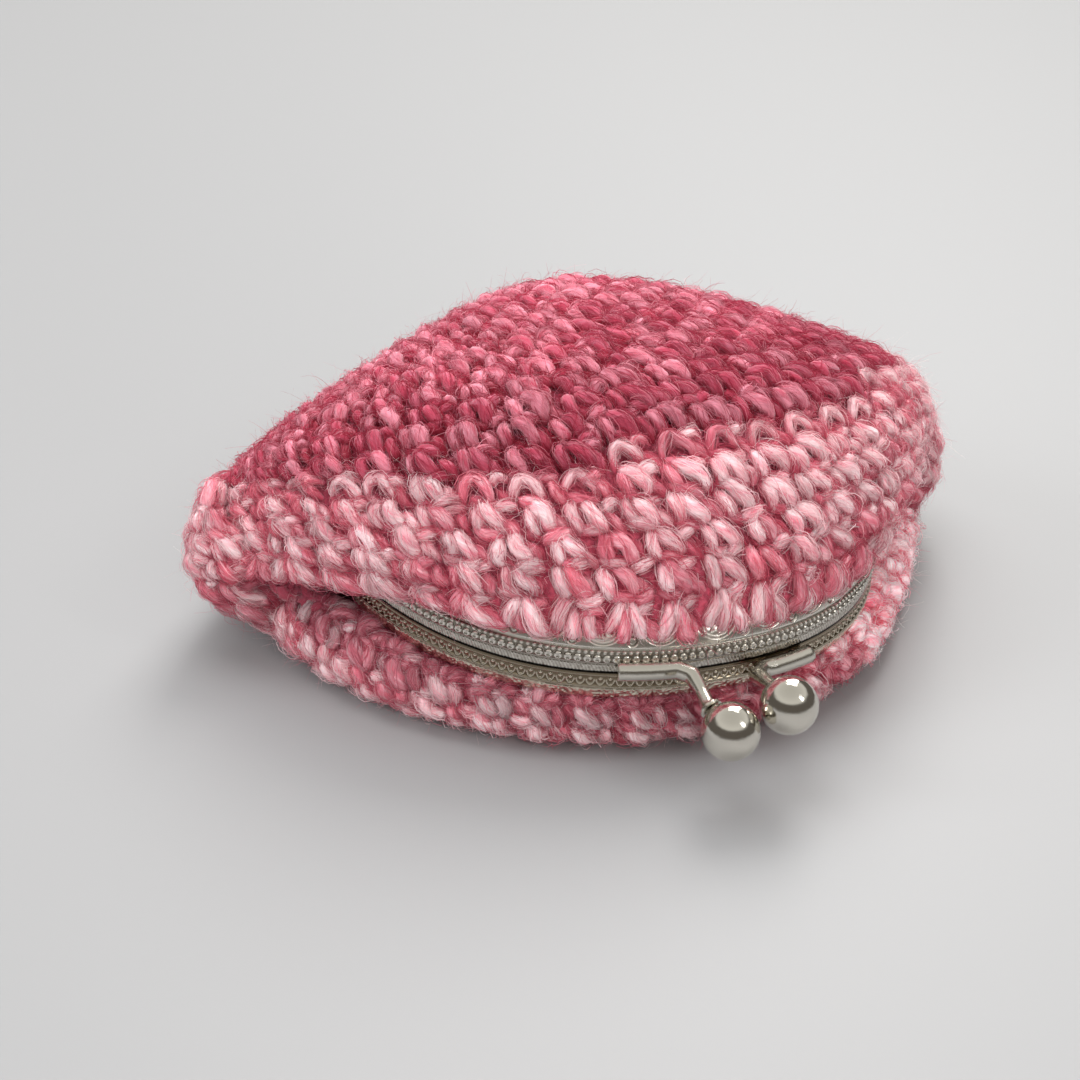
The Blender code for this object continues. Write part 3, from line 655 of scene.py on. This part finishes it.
def lay(strands, kind, count, pale, scale, pale_factor, dim, slim, on):
    """Strands of one kind of stitch for count stitches, which on() sets on the fabric.

    pale: worked in the light yarn. scale: size. pale_factor: how much more of each strand is pale than
    its kind says. dim: brightness, which on the rear wall paints light and shade. slim: share of the stitch's width
    that is kept.
    """
    made = []
    for shape, size, pale_share in KINDS[kind]:
        points = 11 if len(shape) == 5 else 18
        local = np.broadcast_to(shape, (count,) + shape.shape).copy()
        local[..., 0] = shape[:, 0].mean() + (local[..., 0] - shape[:, 0].mean()) * slim
        local[..., :2] += rng.normal(0, 0.05, (count, 1, 2)) + rng.normal(0, 0.03, (count, len(shape), 2))
        local[..., 2] += rng.normal(0, 0.20, (count, 1)) + rng.normal(0, 0.08, (count, len(shape)))
        local[..., 2] *= MM * scale[:, None]
        path = bend(local, points)
        place, normal = on(path)
        place = place + normal * path[..., 2:3]
        body = 0.55 + 0.50 * np.sin(math.pi * np.linspace(0, 1, points)) ** 0.7
        radius = YARN * size * body[None] * scale[:, None] * rng.uniform(0.88, 1.12, (count, 1))
        tints = pick_tints(count, pale[:, None], pale_share * pale_factor[:, None])
        tints = [tone * dim[:, None] for tone in tints]
        # The painted shade tone that each strand darkens to where it dips between its neighbours
        low = np.where(pale[:, None], ROSE * 0.85, DEEP)[:, None, None] * dim[:, None, None, None]
        axes = strands.add(place, normal, radius, tints, path[..., 2], low)
        made.append((place, radius, axes, tints, path[..., 2], low[:, 0, 0]))
    return made


# The blunt left corner of the bag, as upright curves in mm, from the top down. The right one mirrors it.
EAR_NEAR = [
    (-54.5, 6.5, 23.4), (-56.0, 2.4, 22.4), (-55.4, -4.4, 20.4), (-54.6, -8.0, 18.6),
    (-53.5, -10.4, 15.6), (-53.5, -6.5, 12.0), (-51.0, -7.6, 8.6), (-49.0, -8.5, 5.2),
]
EAR_OUTER = [
    (-57.0, 6.0, 24.0), (-60.2, 0.8, 22.8), (-61.9, -1.2, 20.6), (-62.6, -2.4, 17.8),
    (-62.5, -3.0, 14.6), (-61.4, -3.4, 11.5), (-59.3, -3.8, 8.8), (-56.3, -4.4, 6.4),
]
EAR_FAR = [
    (-53.5, 11.0, 22.5), (-56.0, 8.0, 22.0), (-57.3, 7.0, 19.5), (-58.2, 6.5, 17.0),
    (-58.2, 6.0, 14.5), (-57.5, 5.5, 12.0), (-55.7, 5.0, 9.5), (-53.0, 4.0, 7.0),
]
EAR = bend(np.array([EAR_NEAR, EAR_OUTER, EAR_FAR]) * MM, 61)

# Each round on a corner, from the top down: its share of pale yarn and its brightness
EAR_TONES = ((0.45, 0.9), (0.7, 0.95), (0.85, 0.95), (0.9, 1.0), (0.6, 0.9), (0.5, 0.85))
EAR_ROWS = {1: (0, 1, 2, 3), -1: (4, 5)}  # made with the front (1) and the rear (-1) wall


def ear_place(end, t, k):
    """Places on the corner's skin, t from the near to the far side, k from the top (0) to the bottom (1)."""
    fine = np.linspace(0, 1, EAR.shape[1])
    near, out, far = [np.stack([np.interp(k, fine, curve[:, axis]) for axis in range(3)], -1) for curve in EAR]
    mid = 2 * out - (near + far) / 2
    t = np.asarray(t)[..., None]
    place = (1 - t) ** 2 * near + 2 * t * (1 - t) * mid + t * t * far
    return place * np.array([-end, 1.0, 1.0])


def ear(end, t, k):
    """Places and normals on the corner's skin at the left (-1) or right (1) end."""
    t, k = np.broadcast_arrays(t, k)
    place = ear_place(end, t, k)
    across = ear_place(end, t + 0.02, k) - ear_place(end, t - 0.02, k)
    down = ear_place(end, t, k + 0.02) - ear_place(end, t, k - 0.02)
    return place, unit(np.cross(across, down)) * -end


def ear_stitches(strands, rows):
    """Rounds of stitches turning round both corners, where the two walls meet."""
    made = []
    for end in (-1, 1):
        for row in rows:
            mid = (np.arange(3) + 0.5 + 0.25 * (row % 2)) / 3.25
            on = lambda path: ear(
                end,
                mid[:, None] + end * path[..., 0] * 0.31,
                (row + 0.5 - path[..., 1]) / len(EAR_TONES),
            )
            three = np.ones(3)
            share, dim = EAR_TONES[row]
            made.extend(lay(strands, "stitch", 3, three > 0, three * 0.92, three * share, three * dim, 0.85, on))
    return made


def stitch_round(strands, side, j):
    """The strands of one round, whose kind and colours depend on where each stitch lies."""
    centre, width, r, high = cells(side, j)
    here = wall(side, centre, np.full(len(centre), r - high / 2))
    there = wall(side, centre, np.full(len(centre), r + high / 2))
    scale = np.clip(np.linalg.norm(there - here, axis=1) / ROUND_HEIGHT, 0.5, 1.06) ** 0.7
    edge = light_edge(side, centre)
    light = r < edge
    last = light & (r + high > edge) & (side > 0) & (rng.uniform(size=len(centre)) < 0.5)
    skew = np.clip(lean(side, centre, np.full(len(centre), r)) * high, -0.8 * width, 0.8 * width)
    made = []
    if j == 0:
        groups = [("fan", light)]
    else:
        crossed = rng.uniform(size=len(centre)) < 0.4
        groups = [("arch", last), ("cross", ~last & crossed), ("stitch", ~last & ~crossed)]
    for kind, group in groups:
        spots = np.flatnonzero(group & ((j > 0) | (np.abs(centre) < 0.91)))
        if not len(spots):
            continue
        mid, broad, turn = centre[spots], width[spots], skew[spots, None]
        dim, factor = np.ones(len(spots)), np.ones(len(spots))
        if side < 0:
            # The rear wall gets painted shade near the mouth on the left and painted light on the right
            # The paler yarn on the right is painted light too; near the mouth the yarn is less pale
            factor = np.where(mid > 0.3, 1.3, (0.35, 0.65, 0.95)[j] if j < 3 else 1.0)
            dim = np.where(mid > 0.3, 1.45, np.where(mid < 0.0, 0.78, 1.02) if j < 2 else 1.0)
        else:
            # The rose yarn is paler towards the base and the sides
            above = ~light[spots] & ((r > edge[spots] + 0.14) | (np.abs(mid) > 0.5))
            factor = np.where(mid > 0.6, 1.25, np.where(above, 1.2, 1.0))
            dim = np.where(above, 1.1, 1.0)
        slim = 0.9 if j < 6 else 0.62
        on = lambda path: wall_skin(
            side,
            mid[:, None] + side * path[..., 0] * broad[:, None] + turn * path[..., 1],
            np.clip(r + path[..., 1] * high, 0.004, 1.0),
        )
        made.extend(lay(strands, kind, len(spots), light[spots], scale[spots], factor, dim, slim, on))
    return made


# The share of a strand's length that a fibre spans, and its width in mm
LYING_SPAN, LYING_WIDTH = (0.3, 0.75), (0.08, 0.17)
FLYING_SPAN, FLYING_WIDTH = (0.1, 0.4), (0.035, 0.07)


def any_way(count, least, most):
    """Steps of least to most mm in any direction."""
    return unit(rng.normal(size=(count, 3)))[:, None] * rng.uniform(least, most, count)[:, None, None] * MM


def fibres_on(made, lying, flying):
    """Paths, widths and colours of fibres on the tubes in made: lying along each, and flying off it."""
    paths, widths, colours = [], [], []
    steps = 6
    u = np.linspace(0, 1, steps)
    for place, radius, (up, bi), tints, level, shade_tone in made:
        count, n = radius.shape
        for amount, loose, span, broad in (
            (lying, False, LYING_SPAN, LYING_WIDTH),
            (flying, True, FLYING_SPAN, FLYING_WIDTH),
        ):
            total = int(count * amount)
            if not total:
                continue
            k = rng.integers(0, count, total)
            length = rng.uniform(*span, total)
            t0 = rng.uniform(0.0, 1.0 - length * 0.8)
            theta = rng.uniform(-0.6 * math.pi, 0.6 * math.pi, total)
            turn = rng.normal(0.5, 0.7, total)
            t = np.clip(t0[:, None] + length[:, None] * u[None], 0, 1) * (n - 1)
            i = np.minimum(t.astype(int), n - 2)
            f = (t - i)[..., None]
            kk = k[:, None]
            pick = lambda a: a[kk, i] * (1 - f) + a[kk, i + 1] * f
            base, rad = pick(place), pick(radius[..., None])
            th = (theta[:, None] + turn[:, None] * u[None])[..., None]
            ring = np.cos(th) * pick(up) + np.sin(th) * pick(bi)
            if loose:
                rise = rng.gamma(2.0, 0.42, total)[:, None, None] * MM
                stray, curl = any_way(total, 0.5, 3.2), any_way(total, 0.2, 1.1)
                w = u[None, :, None]
                path = base + ring * (rad * 0.98 + rise * w) + stray * w**1.5 + curl * np.sin(w * 4.0)
            else:
                rise = (rng.uniform(-0.05, 0.35, total) + rng.gamma(1.0, 0.22, total))[:, None, None] * MM
                sway = any_way(total, 0.0, 1.5)
                w = (u - 0.5)[None, :, None]
                path = base + ring * (rad * 1.02 + rise * (1 - 3.2 * w * w)) + sway * w
            paths.append(path)
            widths.append(rng.uniform(*broad, total) * MM)
            lead = rng.uniform(size=(total, 1))
            first, second = tints[0][k], tints[1][k]
            tone = np.where(lead < 0.68, first, np.where(lead < 0.84, second, first * 0.5 + BLUSH * 0.5))
            # Fibres low on a strand take on its painted shade tone, as the strand does
            height = pick(level[..., None])[:, steps // 2, 0] + rad[:, steps // 2, 0] * np.cos(theta)
            bright = rng.uniform(0.85, 1.15, (total, 1))
            colours.append(np.clip(shaded_by_depth(tone, height, shade_tone[k]) * bright, 0, 0.95))
    return np.concatenate(paths), np.concatenate(widths), np.concatenate(colours)


def light_tone(count):
    """Colours of loose hairs of the light yarn."""
    pick = rng.uniform(size=(count, 1))
    base = np.where(pick < 0.38, PALE * 1.05, np.where(pick < 0.62, BLUSH, ROSE))
    return np.clip(base * rng.uniform(0.8, 1.12, (count, 1)), 0, 0.95)


def rose_tone(count):
    """Colours of loose hairs of the rose yarn."""
    pick = rng.uniform(size=(count, 1))
    base = np.where(pick < 0.18, BLUSH, np.where(pick < 0.55, SOFT * 1.05, MID))
    return np.clip(base * rng.uniform(0.8, 1.15, (count, 1)), 0, 0.95)


def web(side, low, high, count, tone):
    """Long loose hairs that wander over the stitches."""
    steps = 9
    u = np.linspace(-1, 1, steps)[None]
    s0, r0 = rng.uniform(-0.99, 0.99, count)[:, None], rng.uniform(low, high, count)[:, None]
    place, across, down, normal = wall_axes(side, s0, r0)
    turn = rng.uniform(0, 2 * math.pi, (count, 1, 1))
    way = across * np.cos(turn) + down * np.sin(turn)
    curl = -across * np.sin(turn) + down * np.cos(turn)
    reach = rng.gamma(3.0, 0.75, (count, 1, 1)) * MM
    bow = rng.normal(0, 0.45, (count, 1, 1)) * reach
    wave = rng.normal(0, 0.12, (count, 1, 1)) * reach * np.sin(u[..., None] * rng.uniform(3, 7, (count, 1, 1)))
    rise = rng.uniform(-0.7, 0.5, (count, 1, 1)) * MM
    lift = rng.gamma(1.5, 0.35, (count, 1, 1)) * MM * (u[..., None] * 0.5 + 0.5) ** 2
    v = u[..., None]
    path = place + way * reach * v + curl * (bow * (v * v - 0.3) + wave) + normal * (rise + lift)
    path = path + normal * (v * v) * (-reach * 0.12)
    return path, rng.uniform(0.03, 0.06, count) * MM, tone(count)


# Each wall is made in bands, which start at these rounds. LYING and FLYING: fibres for each strand, which lie
# on it or fly off it. HAIRS: loose hairs in each band.
BAND_STARTS = (0, 3, 6, 11, 16, 21)
LYING = {1: (52, 52, 46, 40, 24, 24), -1: (52, 44, 16, 16, 20, 24)}
FLYING = 12
HAIRS = 1300
FIBRES_A_PIECE = 19000

yarn = yarn_look("yarn")
fuzz = fibre_look("yarn_fibres")
backing = backing_look("yarn_backing")

pieces = []


def work_wall(side, word):
    """One wall's strands, fibres and loose hairs."""
    ends = BAND_STARTS[1:] + (len(EDGES[side]) - 1,)
    for number, (low, high) in enumerate(zip(BAND_STARTS, ends)):
        strands = Strands()
        made = ear_stitches(strands, EAR_ROWS[side]) if number == 0 else []
        for j in range(low, high):
            made.extend(stitch_round(strands, side, j))
        light = number < 2
        band = [strands.mesh(f"{word}_yarn_{number}", yarn)]
        paths, widths, colours = fibres_on(made, LYING[side][number], FLYING)
        shares = np.array_split(np.arange(len(paths)), -(-len(paths) // FIBRES_A_PIECE))
        for letter, some in zip("abc", shares):
            band.append(ribbons(f"{word}_fibres_{number}{letter}", paths[some], widths[some], colours[some], fuzz))
        loose = web(side, EDGES[side][low], EDGES[side][high], HAIRS, light_tone if light else rose_tone)
        band.append(ribbons(f"{word}_hairs_{number}", *loose, fuzz))
        for piece in band:
            pieces.append((piece, side))


work_wall(1, "front")
work_wall(-1, "rear")


def wall_shell(name, side):
    """The worked fabric behind the stitches, with both of its faces, so nothing shows through."""
    s, r = np.meshgrid(np.linspace(-1, 1, 161), np.linspace(0, 1, 121))
    skins = []
    for depth in (2.1 * MM, 3.8 * MM):
        place, _, _, normal = wall_axes(side, s, r, depth)
        ripple = 0.25 * MM * np.sin(s * 70) * np.cos(r * 2 * math.pi * 24)
        skins.append((place + normal * ripple[..., None]).reshape(-1, 3))
    grid = np.arange(s.size).reshape(s.shape)
    rim = np.concatenate([grid[0], grid[1:, -1], grid[-1, ::-1][1:], grid[::-1, 0][1:]])
    sides = np.stack([rim[:-1], rim[1:], rim[1:] + s.size, rim[:-1] + s.size], -1)
    faces = np.concatenate([grid_quads(grid), grid_quads(grid + s.size)[:, ::-1], sides])
    if side < 0:
        faces = faces[:, ::-1]
    # The fabric behind the stitches takes the yarn colours darkened: painted shade in the hollows between them
    tone = np.where((r < light_edge(side, s))[..., None], ROSE * 0.7, MID * 0.7)
    colours = np.concatenate([tone.reshape(-1, 3)] * 2)
    return new_mesh(name, np.concatenate(skins), faces, colours, None, backing)


def ear_shell(name, end, low, high):
    """The fabric behind one corner's stitches."""
    t, k = np.meshgrid(np.linspace(0, 1, 41), np.linspace(low, high, 31))
    place, normal = ear(end, t, k)
    quads = grid_quads(np.arange(t.size).reshape(t.shape))
    # Darkened rose: painted shade behind the corner's stitches
    tones = np.broadcast_to(ROSE * 0.7, (t.size * 2, 3))
    points = np.concatenate([(place - normal * depth).reshape(-1, 3) for depth in (1.9 * MM, 2.4 * MM)])
    return new_mesh(name, points, np.concatenate([quads, quads[:, ::-1] + t.size]), tones, None, backing)


for word, end in (("left", -1), ("right", 1)):
    for half, side, low, high in (("front", 1, 0.0, 0.66), ("rear", -1, 0.66, 1.0)):
        corner = ear_shell(f"{half}_{word}_corner", end, low, high)
        pieces.append((corner, side))

front_shell = wall_shell("front_fabric", 1)
rear_shell = wall_shell("pouch_fabric", -1)
pieces += [(front_shell, 1), (rear_shell, -1)]

# The front wall's pieces keep their places, with no body; the rear wall's pieces go with the rear body
for piece, side in pieces:
    if side > 0:
        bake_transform(piece)
    else:
        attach(piece, "rear")
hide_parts("front_panel")
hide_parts("pouch_body")


# Embossed metal


def dots(u, v, pitch, at, radius):
    """Round beads in a row, at height `at` over the seam."""
    du = (u / pitch - np.round(u / pitch)) * pitch
    d = np.hypot(du, v - at) / radius
    return np.sqrt(np.clip(1 - d * d, 0, None))


def line(v, at, half):
    """A raised line at height `at`."""
    return np.clip(1 - np.abs(v - at) / half, 0, 1)


STIPPLE = rng.uniform(-1, 1, (64, 1024))


def grit(u, v):
    """A fine stipple, about 0.3 mm from dot to dot."""
    x, y = (u + 150) / 0.30, (v + 1) / 0.28
    i, j = np.floor(x).astype(int), np.floor(y).astype(int)
    fx, fy = x - i, y - j
    fx, fy = fx * fx * (3 - 2 * fx), fy * fy * (3 - 2 * fy)
    spot = lambda a, b: STIPPLE[b % 64, a % 1024]
    low = spot(i, j) * (1 - fx) + spot(i + 1, j) * fx
    high = spot(i, j + 1) * (1 - fx) + spot(i + 1, j + 1) * fx
    return (low * (1 - fy) + high * fy) * 1.3


def relief_front(u, v):
    """Height of the upper half's ornament at arc length u and wall length v, in mm."""
    rim = np.clip((1.35 - v) * 4, 0, 1)
    h = rim * (0.08 + 0.04 * np.cos((u + 0.5 * v) * 2 * math.pi / 0.5) + 0.03 * grit(u, v))
    h += 0.30 * dots(u, v, 1.35, 2.15, 0.56) - 0.22 * dots(u, v, 1.35, 2.15, 0.32)
    h += 0.18 * dots(u + 0.33, v, 0.90, 3.05, 0.28) + 0.12 * line(v, 1.42, 0.10) + 0.14 * line(v, 3.5, 0.12)
    cell = (u / 8.5 - np.round(u / 8.5)) * 8.5
    ring = np.hypot(cell, (v - 6.8) * 1.1)
    mid = np.abs(cell) - 4.25
    swirl = np.hypot(mid, v - 4.9)
    turn = np.arctan2(v - 4.9, mid)
    curl = np.clip(np.cos(swirl * 5.0 - turn) * 1.6 - 0.5, 0, 1) * np.clip((1.25 - swirl) * 3, 0, 1)
    petals = np.clip(np.cos(np.arctan2(v - 6.8, cell) * 9) * 2 - 1, 0, 1) * line(ring, 1.75, 0.5)
    cut = np.max([line(ring, 2.95, 0.22), 0.8 * line(ring, 2.45, 0.14), curl, petals], axis=0)
    band = np.clip((v - 3.45) * 4, 0, 1)
    return h + band * (0.20 - 0.19 * cut)


def relief_rear(u, v):
    """The same for the lower half."""
    h = 0.26 * dots(u, v, 1.4, 1.15, 0.28)
    arch = np.hypot((u / 1.4 - np.round(u / 1.4)) * 1.4, (v - 1.45) * 0.9)
    h += 0.20 * line(arch, 0.55, 0.13) * np.clip((v - 1.2) * 5, 0, 1) * np.clip((2.3 - v) * 6, 0, 1)
    h += 0.10 * line(v, 0.62, 0.10) + 0.10 * line(v, 2.3, 0.12)
    band = np.clip((v - 2.45) * 6, 0, 1)
    return h + band * (0.16 + 0.09 * grit(u, v))


def emboss(name, side, relief):
    """A finely worked skin over one half's rolled wall, from the seam to the band, and over its ridge."""
    turns = np.linspace(-math.pi / 2, math.pi / 2, 4001)
    x, y = arc_point(turns, 0.0)
    run = np.r_[0.0, np.cumsum(np.hypot(np.diff(x), np.diff(y)))]
    across = 1290
    high = 76
    u = np.linspace(0, run[-1], across)
    turn = np.interp(u, run, turns)
    roll = np.linspace(0.0, math.pi / 2, 200)
    ri, ro = roll_point(roll, 0.0)
    vrun = np.r_[0.0, np.cumsum(np.hypot(np.diff(ri), np.diff(ro)))]
    v = np.linspace(0.12 * MM, vrun[-1], high)
    rolls = np.interp(v, vrun, roll)
    uu, vv = np.meshgrid(u, v)
    height = relief((uu - run[-1] / 2) / MM, vv / MM) * MM
    edge = np.clip(np.minimum(uu, run[-1] - uu) / (2 * MM), 0, 1)
    ridge_height, ridge_width = RIDGES[side]
    centre = math.asin(ridge_height / ROLL_RISE)
    slope, foot = RIDGE_RISE / ROLL_RISE, (ridge_width / 2 + RIDGE_RISE) / ROLL_RISE
    off = np.clip((foot + 0.03 - np.abs(rolls - centre)) / slope, 0, 1)[:, None] * RIDGE_RISE
    off = off + 0.06 * MM + np.clip(height, -0.02 * MM, None) * edge
    inset, out = roll_point(np.repeat(rolls[:, None], across, 1), off)
    along, deep = arc_point(np.repeat(turn[None], high, 0), inset)
    points = from_frame(along, np.minimum(deep, -GAP), side * out)
    quads = grid_quads(np.arange(across * high).reshape(high, across))
    if side < 0:
        quads = quads[:, ::-1]
    # Painted light and shade: the colour runs from the dark tone in the hollows to the light one on the crests
    level = np.clip(height / (0.16 * MM), 0, 1)[..., None]
    lit_tone, shade_tone = TONES[side]
    tone = shade_tone + (lit_tone - shade_tone) * level
    # Painted shadow: the lowest 0.3 mm of the skin, at the seam between the halves, turns near black
    tone = tone * np.clip((vv / MM - 0.18) / 0.10, 0.03, 1)[..., None]
    return new_mesh(name, points, quads, tone, None, ornate)


# The ornament's colour where it stands high, and in its hollows: painted light on the crests and painted shade in
# the hollows
TONES = {
    1: (np.array((0.88, 0.84, 0.77)), np.array((0.26, 0.23, 0.19))),
    -1: (np.array((0.84, 0.77, 0.64)), np.array((0.24, 0.19, 0.13))),
}
ornate = metal_look("ornate_nickel", (0.7, 0.68, 0.64), 0.25, relief=True)
plain = metal_look("plain_nickel", (0.60, 0.57, 0.50), 0.26)
bright = metal_look("bright_nickel", (0.70, 0.67, 0.60), 0.06, rounding=0.9 * MM)
for name, side, relief in (("front_frame_ornament", 1, relief_front), ("rear_frame_ornament", -1, relief_rear)):
    skin = emboss(name, side, relief)
    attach(skin, "front" if side > 0 else "rear")


def dress(name, look):
    """Give a CAD node a better material."""
    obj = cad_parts[name]
    obj.data.materials.clear()
    obj.data.materials.append(look)


for name in ("front_frame", "rear_frame", "hinge_rivet_left", "hinge_rivet_right"):
    dress(name, plain)
for name in ("front_clasp_arm", "front_clasp_ball", "rear_clasp_arm", "rear_clasp_ball"):
    dress(name, bright)


# Table, light and camera


def make_floor():
    size = 3.0
    points = [(-size, -size, 0), (size, -size, 0), (size, size, 0), (-size, size, 0)]
    obj = new_mesh("table", points, [(0, 1, 2, 3)])
    made, tree, shader = principled("table_top")
    bumped(tree, shader, noise_over(tree, 900.0), 0.05, 0.1 * MM)
    preset(shader, {"Base Color": (0.270, 0.270, 0.274, 1.0), "Roughness": 0.55})
    obj.data.materials.append(made)


PURSE_MIDDLE = (0.0, 0.0, 0.02)

# Each soft light: place, aim, its two sides, watts, colour, and whether shiny things show it
LIGHTS = {
    "window": ((0.40, 0.55, 0.70), PURSE_MIDDLE, (0.40, 0.60), 8.0, (1.0, 0.99, 0.97), True),
    "ceiling": ((-0.10, 0.25, 0.95), PURSE_MIDDLE, (0.80, 0.80), 8.0, (0.98, 0.99, 1.0), False),
    "room_left": ((-0.90, 0.05, 0.55), PURSE_MIDDLE, (0.50, 0.50), 5.5, (0.96, 0.97, 1.0), False),
    "room_front": ((-0.20, -0.95, 0.42), PURSE_MIDDLE, (0.80, 0.80), 6.5, (1.0, 0.985, 0.975), False),
    "pane": ((0.44, -0.57, 0.69), (0.02, -0.06, 0.01), (0.17, 0.24), 0.9, (1.0, 0.99, 0.98), True),
}


def make_light(name, place, aim, sides, watts, colour, mirrored):
    data = bpy.data.lights.new(name, "AREA")
    data.shape = "RECTANGLE"
    data.size, data.size_y = sides
    data.energy = watts
    data.color = colour
    obj = bpy.data.objects.new(name, data)
    bpy.context.scene.collection.objects.link(obj)
    obj.location = place
    obj.rotation_euler = (Vector(aim) - Vector(place)).to_track_quat("-Z", "Y").to_euler()
    obj.visible_glossy = mirrored


def make_world():
    """A plain room: dark below, brightest a little over the table and mid grey above."""
    world = bpy.data.worlds.new("room")
    bpy.context.scene.world = world
    world.use_nodes = True
    tree = world.node_tree
    link = tree.links.new
    back = tree.nodes["Background"]
    place = node(tree, "ShaderNodeTexCoord")
    split = node(tree, "ShaderNodeSeparateXYZ")
    ramp = node(tree, "ShaderNodeValToRGB")
    link(place.outputs["Generated"], split.inputs["Vector"])
    link(split.outputs["Z"], ramp.inputs["Fac"])
    ramp.color_ramp.elements[0].position = 0.50
    ramp.color_ramp.elements[0].color = (0.10, 0.09, 0.08, 1.0)
    ramp.color_ramp.elements[1].position = 1.0
    ramp.color_ramp.elements[1].color = (0.46, 0.45, 0.42, 1.0)
    for spot, value in ((0.53, 0.34), (0.62, 0.60), (0.80, 0.52)):
        stop = ramp.color_ramp.elements.new(spot)
        stop.color = (value, value * 0.98, value * 0.93, 1.0)
    link(ramp.outputs["Color"], back.inputs["Color"])
    back.inputs["Strength"].default_value = 1.25


def make_camera():
    """The photo's view: turned round the purse, looking down, with a slight roll."""
    turn, drop, roll = math.radians(23.8), math.radians(27.7), math.radians(3.5)
    right = Vector((math.cos(turn), -math.sin(turn), 0.0))
    level = Vector((math.sin(turn), math.cos(turn), 0.0))
    ahead = level * math.cos(drop) - Vector((0, 0, math.sin(drop)))
    up = level * math.sin(drop) + Vector((0, 0, math.cos(drop)))
    target = Vector((-6.56, 0.0, 9.27)) * MM
    distance = 366.8 * MM
    eye = target - ahead * distance
    turned_right = right * math.cos(roll) + up * math.sin(roll)
    turned_up = up * math.cos(roll) - right * math.sin(roll)
    data = bpy.data.cameras.new("camera")
    data.angle = math.radians(26.0)
    data.clip_start = 0.01
    obj = bpy.data.objects.new("camera", data)
    bpy.context.scene.collection.objects.link(obj)
    axes = Matrix((turned_right, turned_up, -ahead)).transposed().to_4x4()
    obj.matrix_world = Matrix.Translation(eye) @ axes
    bpy.context.scene.camera = obj


make_floor()
make_world()
make_camera()
for name, values in LIGHTS.items():
    make_light(name, *values)
bpy.context.scene.view_settings.view_transform = "Standard"
